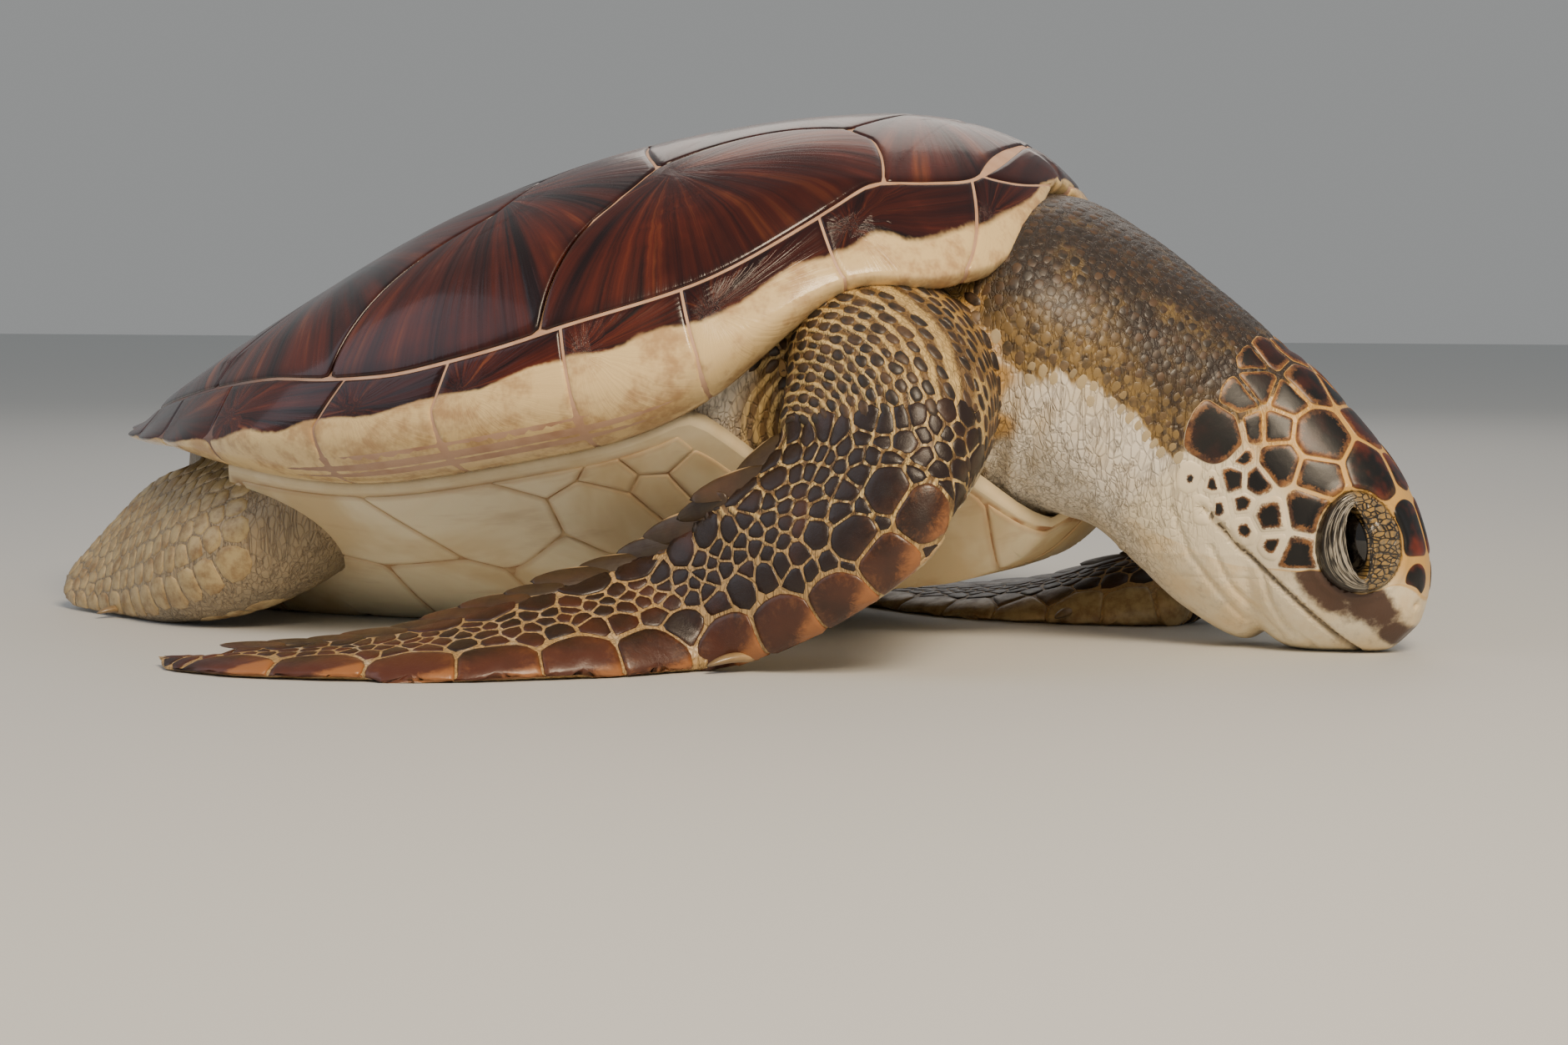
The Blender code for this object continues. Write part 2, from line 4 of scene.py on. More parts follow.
import bmesh
import bpy
import numpy as np
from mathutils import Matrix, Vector

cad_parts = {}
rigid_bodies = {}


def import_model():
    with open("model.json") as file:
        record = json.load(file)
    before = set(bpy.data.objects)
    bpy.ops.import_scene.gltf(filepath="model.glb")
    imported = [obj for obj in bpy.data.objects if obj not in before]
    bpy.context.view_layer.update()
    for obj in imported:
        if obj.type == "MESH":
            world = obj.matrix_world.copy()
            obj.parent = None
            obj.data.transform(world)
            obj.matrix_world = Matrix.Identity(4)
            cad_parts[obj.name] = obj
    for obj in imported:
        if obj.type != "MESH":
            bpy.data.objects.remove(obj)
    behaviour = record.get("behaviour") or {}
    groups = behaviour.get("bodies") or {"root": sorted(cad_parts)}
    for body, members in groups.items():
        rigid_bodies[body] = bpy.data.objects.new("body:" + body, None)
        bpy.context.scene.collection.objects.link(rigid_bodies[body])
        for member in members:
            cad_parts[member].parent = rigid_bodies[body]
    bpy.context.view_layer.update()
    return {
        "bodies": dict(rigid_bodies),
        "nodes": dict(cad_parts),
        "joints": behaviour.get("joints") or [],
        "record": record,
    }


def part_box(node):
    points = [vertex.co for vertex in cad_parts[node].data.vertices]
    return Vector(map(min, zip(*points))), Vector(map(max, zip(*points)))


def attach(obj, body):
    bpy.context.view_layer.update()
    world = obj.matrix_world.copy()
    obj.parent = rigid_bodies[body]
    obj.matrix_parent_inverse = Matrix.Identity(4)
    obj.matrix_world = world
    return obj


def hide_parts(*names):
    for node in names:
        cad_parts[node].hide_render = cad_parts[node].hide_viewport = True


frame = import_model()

mm = 0.001


# ---- numbers and curves

def hermite(rows, x, column=1):
    # smooth curve through the rows, the first column against another one
    table = np.array(rows, float)
    knots, values = table[:, 0], table[:, column]
    slopes = np.gradient(values, knots)
    x = np.clip(np.asarray(x, float), knots[0], knots[-1])
    i = np.clip(np.searchsorted(knots, x) - 1, 0, len(knots) - 2)
    span = knots[i + 1] - knots[i]
    u = (x - knots[i]) / span
    start = (1 + 2 * u) * (1 - u) ** 2 * values[i] + u * (1 - u) ** 2 * span * slopes[i]
    end = u * u * (3 - 2 * u) * values[i + 1] + u * u * (u - 1) * span * slopes[i + 1]
    return start + end


def smooth(low, high, x):
    # zero before low, one after high, an S between them
    u = np.clip((np.asarray(x, float) - low) / (high - low), 0.0, 1.0)
    return u * u * (3 - 2 * u)


def unit(vectors):
    return vectors / np.maximum(np.linalg.norm(vectors, axis=-1, keepdims=True), 1e-12)


def bell(x, width):
    # one at zero, falling away on both sides
    return np.exp(-(x / width) ** 2)


def signedPower(x, power):
    return np.sign(x) * np.abs(x) ** power


def runAlong(points):
    # length of a line of points from its start to each of them
    return np.concatenate([[0], np.cumsum(np.linalg.norm(np.diff(points, axis=0), axis=1))])


def stepsAlong(run, gap):
    # steps from a line's start to each of its points, where the gap between steps changes on the way
    return np.concatenate([[0], np.cumsum(np.diff(run) / gap[1:])])


def awayFrom(out, offset):
    # directions turned round where they point against the offset
    return out * np.sign(np.einsum("ij,ij->i", out, offset))[:, None]


def joined(parts):
    # rows of columns joined column by column
    return [np.concatenate(column) for column in zip(*parts)]


# ---- the head's own frame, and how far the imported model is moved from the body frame

headSpec = dict(start=0.169, slope=math.radians(45.0), eyeAlong=0.091, eyeSide=0.0222, eyeHeight=0.3385,
                eyeRadius=0.0150)


def headTurn():
    # cosine and sine of the head's slope
    return math.cos(headSpec["slope"]), math.sin(headSpec["slope"])


def headToBody(along, side, height):
    # forward from the nape, left and up, turned down by the slope of the head
    a = headSpec["start"] + np.asarray(along, float)
    b = np.asarray(height, float)
    c, s = headTurn()
    return np.stack([a * c + b * s, side + 0 * a, b * c - a * s], -1)


eyeLow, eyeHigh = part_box("eye_left")
eyeMiddle = headToBody(headSpec["eyeAlong"], headSpec["eyeSide"], headSpec["eyeHeight"])
toRow = (np.array(eyeLow) + np.array(eyeHigh)) / 2 - eyeMiddle


# ---- meshes from whole arrays

def meshFrom(name, verts, faceSets, fields=None):
    # verts in the body frame, faceSets a list of index arrays with 3 or 4 columns
    mesh = bpy.data.meshes.new(name)
    faceSets = [np.asarray(f) for f in faceSets if len(f)]
    corners = np.concatenate([f.ravel() for f in faceSets]).astype(np.int32)
    sizes = np.concatenate([np.full(len(f), f.shape[1]) for f in faceSets])
    starts = np.concatenate([[0], np.cumsum(sizes)[:-1]]).astype(np.int32)
    mesh.vertices.add(len(verts))
    mesh.vertices.foreach_set("co", (np.asarray(verts) + toRow).astype(np.float32).ravel())
    mesh.loops.add(len(corners))
    mesh.loops.foreach_set("vertex_index", corners)
    mesh.polygons.add(len(sizes))
    mesh.polygons.foreach_set("loop_start", starts)
    mesh.update(calc_edges=True)
    for key, values in (fields or {}).items():
        values = np.asarray(values, np.float32)
        kind, slotName = ("FLOAT_VECTOR", "vector") if values.ndim == 2 else ("FLOAT", "value")
        mesh.attributes.new(key, kind, "POINT").data.foreach_set(slotName, values.ravel())
    return mesh


def faceOut(mesh, merge=0.0):
    # every closed shell of the mesh faces outwards and is shaded smooth
    shape = bmesh.new()
    shape.from_mesh(mesh)
    if merge:
        bmesh.ops.remove_doubles(shape, verts=shape.verts, dist=merge)
    bmesh.ops.recalc_face_normals(shape, faces=shape.faces)
    shape.to_mesh(mesh)
    shape.free()
    mesh.polygons.foreach_set("use_smooth", np.ones(len(mesh.polygons), bool))
    mesh.update()
    return mesh


def linked(name, data):
    # a new object in the scene
    piece = bpy.data.objects.new(name, data)
    bpy.context.collection.objects.link(piece)
    return piece


def addPiece(mesh, material, nodes=()):
    piece = linked(mesh.name, mesh)
    mesh.materials.clear()
    mesh.materials.append(material)
    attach(piece, "root")
    if nodes:
        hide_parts(*nodes)
    return piece


def gridFaces(rows, columns, wrap=False):
    # quads of a grid of points stored row after row, wrap joins the last column to the first
    i, k = np.meshgrid(np.arange(rows - 1), np.arange(columns if wrap else columns - 1), indexing="ij")
    k2 = (k + 1) % columns
    quads = np.stack([i * columns + k, i * columns + k2, (i + 1) * columns + k2, (i + 1) * columns + k], -1)
    return quads.reshape(-1, 4)


def sheetFaces(rows, columns):
    # a grid, the same grid turned over as its other side, and the quads that join them round the edge
    size = rows * columns
    index = np.arange(size).reshape(rows, columns)
    loop = np.concatenate([index[0, :-1], index[:-1, -1], index[-1, :0:-1], index[:0:-1, 0]])
    after = np.roll(loop, -1)
    quads = gridFaces(rows, columns)
    return np.concatenate([quads, quads[:, ::-1] + size,
                           np.stack([loop, after, after + size, loop + size], -1)])


def fanFaces(hub, first, second):
    # triangles from one point to each edge of a ring
    return np.stack([hub + 0 * first, first, second], -1)


def tube(rings):
    # closed tube through rings of equal length, with a fan of triangles at each end
    rings = np.array(rings)
    n = rings.shape[1]
    k = np.arange(n)
    after = (k + 1) % n
    size = len(rings) * n
    ends = np.array([rings[0].mean(0), rings[-1].mean(0)])
    fans = np.concatenate([fanFaces(size, after, k), fanFaces(size + 1, size - n + k, size - n + after)])
    return np.concatenate([rings.reshape(-1, 3), ends]), gridFaces(len(rings), n, wrap=True), fans


def repeated(name, verts, quads, tris, fields):
    # mesh of many equal shells, verts has one row of points for each of them
    offset = (np.arange(len(verts)) * verts.shape[1])[:, None, None]
    sets = [(quads[None] + offset).reshape(-1, 4), (tris[None] + offset).reshape(-1, 3)]
    return meshFrom(name, verts.reshape(-1, 3), sets, fields)


class Batch:
    # many small closed shells gathered into one mesh
    def __init__(self):
        self.verts, self.quads, self.tris, self.fields, self.count = [], [], [], {}, 0

    def add(self, verts, quads, tris, **fields):
        self.verts.append(verts)
        if len(quads):
            self.quads.append(np.asarray(quads) + self.count)
        if len(tris):
            self.tris.append(np.asarray(tris) + self.count)
        for key, values in fields.items():
            self.fields.setdefault(key, []).append(values)
        self.count += len(verts)

    def mesh(self, name):
        sets = [np.concatenate(s) for s in (self.quads, self.tris) if s]
        fields = {key: np.concatenate(parts) for key, parts in self.fields.items()}
        return faceOut(meshFrom(name, np.concatenate(self.verts), sets, fields))


# ---- material helpers

def colour(r, g, b):
    # screen values 0 to 255 as linear light
    v = np.array([r, g, b]) / 255
    lin = np.where(v <= 0.04045, v / 12.92, ((v + 0.055) / 1.055) ** 2.4)
    return (*[float(n) for n in lin], 1.0)


class Value:
    # an output of a node that adds, subtracts, multiplies and divides like a number
    def __init__(self, nodes, socket):
        self.nodes, self.socket = nodes, socket

    def __add__(self, other):
        return self.nodes.math("ADD", self, other)

    def __radd__(self, other):
        return self.nodes.math("ADD", other, self)

    def __sub__(self, other):
        return self.nodes.math("SUBTRACT", self, other)

    def __rsub__(self, other):
        return self.nodes.math("SUBTRACT", other, self)

    def __mul__(self, other):
        return self.nodes.math("MULTIPLY", self, other)

    def __truediv__(self, other):
        return self.nodes.math("DIVIDE", self, other)


class Nodes:
    # short ways to lay out a node tree
    def __init__(self, tree):
        self.tree = tree

    def new(self, kind, **settings):
        node = self.tree.nodes.new(kind)
        for key, value in settings.items():
            setattr(node, key, value)
        return node

    def put(self, socket, value):
        if isinstance(value, Value):
            self.tree.links.new(value.socket, socket)
        else:
            socket.default_value = value

    def out(self, node, key=0):
        return Value(self, node.outputs[key])

    def math(self, operation, a, b=0.0):
        node = self.new("ShaderNodeMath", operation=operation)
        self.put(node.inputs[0], a)
        self.put(node.inputs[1], b)
        return self.out(node)

    def mix(self, share, a, b):
        node = self.new("ShaderNodeMix", data_type="RGBA")
        for key, value in ((0, share), (6, a), (7, b)):
            self.put(node.inputs[key], value)
        return self.out(node, 2)

    def ramp(self, value, *stops):
        node = self.new("ShaderNodeValToRGB")
        self.put(node.inputs[0], value)
        line = node.color_ramp.elements
        while len(line) < len(stops):
            line.new(0.5)
        for element, (place, tone) in zip(line, stops):
            element.position = place
            element.color = tone
        return self.out(node)

    def spread(self, value, low, high, newLow=0.0, newHigh=1.0):
        node = self.new("ShaderNodeMapRange", interpolation_type="SMOOTHSTEP")
        for socket, number in zip(node.inputs, (value, low, high, newLow, newHigh)):
            self.put(socket, number)
        return self.out(node)

    def place(self, scale=(1, 1, 1), source=None):
        # where a point is on the object, or another vector, stretched
        if source is None:
            source = self.out(self.new("ShaderNodeTexCoord"), "Object")
        node = self.new("ShaderNodeMapping")
        self.put(node.inputs["Vector"], source)
        node.inputs["Scale"].default_value = scale
        return self.out(node)

    def noise(self, vector, scale, detail=3.0, rough=0.55, distortion=0.0):
        node = self.new("ShaderNodeTexNoise")
        self.put(node.inputs["Vector"], vector)
        for key, number in (("Scale", scale), ("Detail", detail), ("Roughness", rough),
                            ("Distortion", distortion)):
            node.inputs[key].default_value = number
        return self.out(node)

    def grain(self, fineness, detail=3.0, rough=0.55, distortion=0.0):
        # noise on the object's own coordinates: one number for all directions, or one for each
        scale = fineness if isinstance(fineness, tuple) else (fineness,) * 3
        return self.noise(self.place(scale), 1.0, detail, rough, distortion)

    def stretched(self, vector, by):
        node = self.new("ShaderNodeVectorMath", operation="MULTIPLY")
        self.put(node.inputs[0], vector)
        node.inputs[1].default_value = by
        return self.out(node)

    def cells(self, vector, scale):
        # distance to the nearest edge between irregular cells
        node = self.new("ShaderNodeTexVoronoi", feature="DISTANCE_TO_EDGE")
        self.put(node.inputs["Vector"], vector)
        node.inputs["Scale"].default_value = scale
        return self.out(node, "Distance")

    def split(self, vector):
        node = self.new("ShaderNodeSeparateXYZ")
        self.put(node.inputs[0], vector)
        return [self.out(node, k) for k in range(3)]

    def field(self, name, kind="Fac"):
        return self.out(self.new("ShaderNodeAttribute", attribute_name=name), kind)

    def fields(self, *names):
        return [self.field(name) for name in names]

    def bump(self, height, distance, strength=1.0, normal=None):
        node = self.new("ShaderNodeBump")
        self.put(node.inputs["Height"], height)
        node.inputs["Distance"].default_value = distance
        node.inputs["Strength"].default_value = strength
        if normal is not None:
            self.put(node.inputs["Normal"], normal)
        return self.out(node)


def newMaterial(name):
    # a material's nodes, and the function that joins them to its Principled BSDF
    material = bpy.data.materials.new(name)
    material.use_nodes = True
    nodes = Nodes(material.node_tree)
    shader = material.node_tree.nodes["Principled BSDF"]

    def finish(**inputs):
        for key, value in inputs.items():
            nodes.put(shader.inputs[key.replace("_", " ")], value)
        return material
    return nodes, finish


# ---- the shell's surface

shellSpec = dict(length=0.58, pitch=math.radians(9.9), lift=0.124, wall=0.008, roundness=2.48,
                 fullness=0.54, edgeStart=0.86, tooth=0.0042)
# a line from ridge to rim starts and ends at these shares of the rim's way forward
ridgeShare, flankShare = 0.62, 0.38
# left half of the rim from the nape to the tail, in shell lengths: place, forward, left, up
rimRows = (
    (0.0, 0.472, 0.000, 0.097), (1.0, 0.472, 0.026, 0.094), (1.3, 0.473, 0.060, 0.077),
    (1.6, 0.470, 0.104, 0.053), (1.85, 0.459, 0.148, 0.030), (2.0, 0.445, 0.178, 0.026),
    (3.0, 0.375, 0.265, 0.030), (4.0, 0.270, 0.335, -0.013), (5.0, 0.150, 0.378, -0.020),
    (6.0, 0.020, 0.390, -0.021), (7.0, -0.110, 0.375, -0.015), (8.0, -0.225, 0.325, -0.006),
    (9.0, -0.322, 0.255, 0.008), (10.0, -0.408, 0.175, 0.021), (11.0, -0.475, 0.080, 0.036),
    (12.0, -0.505, 0.000, 0.043),
)
ridgeRows = (  # the dome on the middle line: forward, up
    (-0.505, 0.046), (-0.420, 0.065), (-0.300, 0.095), (-0.150, 0.135), (0.000, 0.176),
    (0.150, 0.195), (0.300, 0.190), (0.400, 0.175), (0.475, 0.158),
)
costalRows = (  # where the ring of edge plates begins: place along the rim, share of the way out
    (0.0, 0.868), (1.7, 0.868), (2.5, 0.864), (3.14, 0.912), (4.06, 0.952), (4.84, 0.976),
    (5.6, 0.984), (6.1, 0.984), (6.6, 0.974), (7.2, 0.945), (8.0, 0.915), (9.0, 0.900),
    (10.0, 0.892), (12.0, 0.870),
)
up = np.array([0.0, 0.0, 1.0])
flipSide = np.array([1.0, -1.0, 1.0])   # from the left to the right half


def rimPoint(t):
    # forward, left and up at a place along the rim
    return [hermite(rimRows, t, k) for k in (1, 2, 3)]


def bridgeShare(t):
    # one beside the bridges, zero at the nape and the tail
    return smooth(2.8, 5.0, t) * (1 - smooth(6.2, 9.0, t))


def dome(t, r):
    # level shell: from a point on the ridge (r 0) straight out in plan to the rim (r 1), rising as a
    # rounded power curve from the rim's height to the ridge line's, with a straighter flare at the edge
    rx, ry, rz = rimPoint(t)
    cx = ridgeShare * rx
    x = cx + (rx - cx) * r
    spec = shellSpec
    arch = (1 - np.clip(r, 0, 1) ** spec["roundness"]) ** spec["fullness"]
    seam = (1 - spec["edgeStart"] ** spec["roundness"]) ** spec["fullness"]
    flat = seam * (1 - r) / (1 - spec["edgeStart"])
    flare = 0.85 * smooth(0.8, 3.0, t) * (1 - bridgeShare(t)) * (r > spec["edgeStart"])
    z = rz + (hermite(ridgeRows, x) - rz) * (arch + (flat - arch) * flare)
    return np.stack([x, ry * r, z], -1) * spec["length"]


def rimOut(t):
    # level direction from the dome out to the rim
    rx, ry, _ = rimPoint(t)
    return unit(np.stack([flankShare * rx, ry, 0 * rx], -1))


def toBody(points):
    # the level shell tipped up at the front and lifted off the floor
    c, s = math.cos(shellSpec["pitch"]), math.sin(shellSpec["pitch"])
    x, y, z = points[..., 0], points[..., 1], points[..., 2]
    return np.stack([x * c - z * s, y, x * s + z * c + shellSpec["lift"]], -1)


def foldSize(t):
    # how far the edge turns in and down under the rim, more at the bridges
    share = bridgeShare(t)
    return 0.012 + 0.016 * share, 0.006 + 0.024 * share


def underEdge(t):
    # inner edge of the turned-under rim: in and down from the rim by the size of the fold
    inset, drop = foldSize(t)
    return dome(t, 1.0 + 0 * t) - rimOut(t) * inset[..., None] - up * drop[..., None]


def planToRim(x, y):
    # place along the rim whose straight line in plan passes through x, y, by halving, then its share
    low, high = np.zeros_like(x), np.full_like(x, 12.0)
    for _ in range(26):
        t = (low + high) / 2
        rx, ry, _ = rimPoint(t)
        before = (x - ridgeShare * rx) * ry - y * flankShare * rx < 0
        low, high = np.where(before, t, low), np.where(before, high, t)
    rx, ry, _ = rimPoint(t)
    share = ((x - ridgeShare * rx) * flankShare * rx + y * ry) / ((flankShare * rx) ** 2 + ry ** 2)
    return t, np.clip(share, 0, 1)


def domeAtPlan(x, y):
    # top of the shell over a place in plan, both sides
    t, r = planToRim(x, np.abs(y))
    points = dome(t, r)
    points[..., 1] *= np.where(y < 0, -1, 1)
    return toBody(points)


def edgeBand(t, q):
    # ring of edge plates: q 0 at its inner seam, 1 at the rim, 2 under the rim; t below 0 is the right
    side = np.where(t < 0, -1.0, 1.0)
    t = np.abs(t)
    start = hermite(costalRows, t)
    above = dome(t, 1 - (1 - start) * (1 - np.clip(q, 0, 1)) ** 2)
    inset, drop = foldSize(t)
    turn = np.clip(q - 1, 0, 1) * np.pi / 2
    points = above - rimOut(t) * (inset * (1 - np.cos(turn)))[..., None]
    points = points - up * (drop * np.sin(turn))[..., None]
    points[..., 1] *= side
    return points


# ---- carapace: a pale base that shows in the seams, and one plate for each scute

carapaceSpec = dict(seam=0.00062, sink=0.0007, proud=0.00035, edge=0.00045, under=0.0020,
                    edgeUnder=0.0016, directions=120, baseDepth=0.0006)


def seamlessRay(points, focus, number, stretch=1.0):
    # direction from the growth centre as a circle, with the distance, so that streaks fan out
    d = points - focus
    far = np.linalg.norm(d, axis=-1)
    turn = np.arctan2(d[..., 1], d[..., 0] * stretch)
    return np.stack([np.cos(turn), np.sin(turn), far * 6 + number * 3.7], -1)


def outlineOf(corners, count):
    # even steps along a closed outline, with its corners eased
    corners = np.array(corners, float)
    closed = np.concatenate([corners, corners[:1]])
    lengths = runAlong(closed)
    steps = np.linspace(0, lengths[-1], count, endpoint=False)
    ring = np.stack([np.interp(steps, lengths, closed[:, k]) for k in (0, 1)], -1)
    return 0.75 * ring + 0.125 * (np.roll(ring, 1, 0) + np.roll(ring, -1, 0))


def plateLift(proud, inside, spec):
    # height of a plate over its surface: sunk at its edge, at its full height a little inside it
    return proud - (proud + spec["sink"]) * np.exp(-inside / spec["edge"])


def plateTint(number, count):
    # one shade for the whole plate, far from its neighbours'
    return np.full(count, (number * 0.618) % 1.0)


def fanPlate(surface, corners, spec, focus=None, number=0, outward=1.0):
    # closed plate on a surface: rings from the outline to the middle, crowned and rounded at the edge
    ring = outlineOf(corners, spec["directions"])
    n = len(ring)
    middle = ring.mean(0)
    reach = surface(*ring.T)
    centre = surface(*(middle[:, None] + np.zeros((1, n))))
    spoke = np.linalg.norm(reach - centre, axis=1)
    along = unit(np.roll(reach, -1, 0) - np.roll(reach, 1, 0))
    slant = np.linalg.norm(np.cross(unit(reach - centre), along), axis=1)
    depths = np.array([0.0, 0.12, 0.35, 0.8, 1.6, 3.2, 6.0]) * mm + spec["seam"]
    inner = np.maximum(1 - depths[:, None] / (spoke * np.maximum(slant, 0.35))[None, :], 0.25)
    shares = np.concatenate([inner, inner[-1:] * np.array([0.84, 0.68, 0.5, 0.32, 0.15])[:, None]])
    places = middle + (ring - middle)[None] * shares[:, :, None]
    points = surface(places[..., 0], places[..., 1])
    step = 0.002
    ahead = [surface(places[..., 0] + step * a, places[..., 1] + step * b) for a, b in
             ((1, 0), (-1, 0), (0, 1), (0, -1))]
    normal = unit(np.cross(ahead[0] - ahead[1], ahead[2] - ahead[3])) * outward
    inside = np.maximum((1 - shares) * spoke * np.maximum(slant, 0.35) - spec["seam"], 0)
    top = points + normal * plateLift(spec["proud"], inside, spec)[..., None]
    lowRows = [0, 8, 10]
    low = points[lowRows] - normal[lowRows] * spec["under"]
    verts, quads, fans = tube(np.concatenate([low[::-1], top]))
    flat = np.concatenate([places[lowRows][::-1], places]).reshape(-1, 2)
    flat = np.concatenate([flat, middle[None], middle[None]])
    near = np.concatenate([inside[lowRows][::-1].ravel(), inside.ravel(), [0.03, 0.03]])
    focus = middle if focus is None else np.array(focus)
    fields = dict(ray=seamlessRay(flat, focus, number), edge=near * 100,
                  tint=plateTint(number, len(verts)))
    return verts, quads, fans, fields


def seamArc(start, end, lean=0.0, count=9):
    # seam between two corners, bent sideways by lean as a share of its length
    start, end = np.array(start, float), np.array(end, float)
    u = np.linspace(0, 1, count)[:, None]
    side = np.array([-(end - start)[1], (end - start)[0]])
    return start + (end - start) * u + side * lean * np.sin(np.pi * u)


def alongRing(tFrom, tTo, count=24):
    # the inner seam of the edge plates between two places, in plan
    t = np.linspace(tFrom, tTo, count)
    rx, ry, _ = rimPoint(t)
    r = hermite(costalRows, t)
    return np.stack([ridgeShare * rx + flankShare * rx * r, ry * r], -1)


def chain(*paths):
    # paths joined end to end, without the repeated corner
    return np.concatenate([np.asarray(path)[:-1] for path in paths])


def mirror(path):
    # from the left to the right half, in plan
    return np.asarray(path) * np.array([1.0, -1.0])


def back(path):
    return np.asarray(path)[::-1]


# left side: where plates of the middle row meet each other, and the outer corner of each of them
rowJoint = [(0.342, 0.134), (0.152, 0.128), (-0.042, 0.120), (-0.232, 0.098)]
rowPoint = [(0.205, 0.226), (0.078, 0.196), (-0.118, 0.176)]
ringStops = dict(nape=1.72, first=2.42, second=4.98, third=6.52, fourth=8.05, last=10.05)
ringCorner = {name: alongRing(t, t, 2)[0] for name, t in ringStops.items()}
halfNape = seamArc(ringCorner["nape"], (0.4475, 0.0), -0.02, 7)
firstEdge = alongRing(ringStops["nape"], ringStops["first"])
tailEdge = alongRing(ringStops["last"], 12.0)
neckSeam = chain(seamArc(ringCorner["first"], (0.365, 0.142), 0.06),
                 seamArc((0.365, 0.142), rowJoint[0], -0.10, 5), rowJoint[:1] * 2)
rowSeams = [  # from each joint out to the corner of the plate, and back in to the next joint
    (seamArc(rowJoint[k], rowPoint[k], lean), seamArc(rowPoint[k], rowJoint[k + 1], -0.05))
    for k, lean in enumerate((0.10, 0.06, 0.05))]
tailSeam = seamArc(rowJoint[3], ringCorner["last"], 0.08)
crossSeams = [seamArc(p, (p[0], -p[1]), lean) for p, lean in zip(rowJoint, (0.04, 0.03, -0.03, -0.04))]
sideBends = ((0, (0.187, 0.281), "second", 0.05), (1, (0.066, 0.268), "third", 0.07),
             (2, (-0.160, 0.250), "fourth", 0.03))
sideSeams = [chain(seamArc(rowPoint[k], bend, -0.03), seamArc(bend, ringCorner[name], lean),
                   [ringCorner[name]] * 2) for k, bend, name, lean in sideBends]
middleSeams = [chain(halfNape, back(mirror(halfNape)), mirror(firstEdge), mirror(neckSeam),
                     back(crossSeams[0]), back(neckSeam), back(firstEdge))]
for k, (out, home) in enumerate(rowSeams):
    middleSeams.append(chain(out, home, crossSeams[k + 1], mirror(back(home)), mirror(back(out)),
                             back(crossSeams[k])))
middleSeams.append(chain(tailSeam, tailEdge, back(mirror(tailEdge)), mirror(back(tailSeam)),
                         back(crossSeams[3])))
middlePlates = [(seam, (x, 0.0)) for seam, x in zip(middleSeams, (0.352, 0.17, -0.02, -0.21, -0.40))]


def ringPart(a, b):
    return back(alongRing(ringStops[a], ringStops[b]))


sidePlates = [
    (chain(neckSeam, rowSeams[0][0], sideSeams[0], ringPart("first", "second")), (0.222, 0.236)),
    (chain(rowSeams[0][1], rowSeams[1][0], sideSeams[1], ringPart("second", "third"), back(sideSeams[0])),
     (0.060, 0.235)),
    (chain(rowSeams[1][1], rowSeams[2][0], sideSeams[2], ringPart("third", "fourth"), back(sideSeams[1])),
     (-0.125, 0.210)),
    (chain(rowSeams[2][1], tailSeam, ringPart("fourth", "last"), back(sideSeams[2])), (-0.262, 0.160)),
]
# seams of the edge plates: place at the inner seam, place at the rim
edgeSeams = [(1.72, 1.0), (1.80, 2.0), (3.10, 3.0), (4.06, 4.0), (4.84, 4.82), (5.60, 5.75), (6.38, 6.66),
             (7.70, 7.84), (8.85, 8.9), (9.75, 9.75), (10.55, 10.55), (11.30, 11.30), (12.0, 12.0)]
creamRows = (  # how far out the dark horn gives way to cream: place along the rim, share across the plate
    (0.0, 0.93), (0.9, 0.90), (1.2, 0.72), (1.7, 0.50), (2.2, 0.42), (3.0, 0.36), (4.0, 0.46), (5.0, 0.58),
    (6.0, 0.78), (7.0, 0.92), (8.0, 1.0), (12.0, 1.05),
)
rimEasing = 4   # times that the ring's surface is eased along the way out


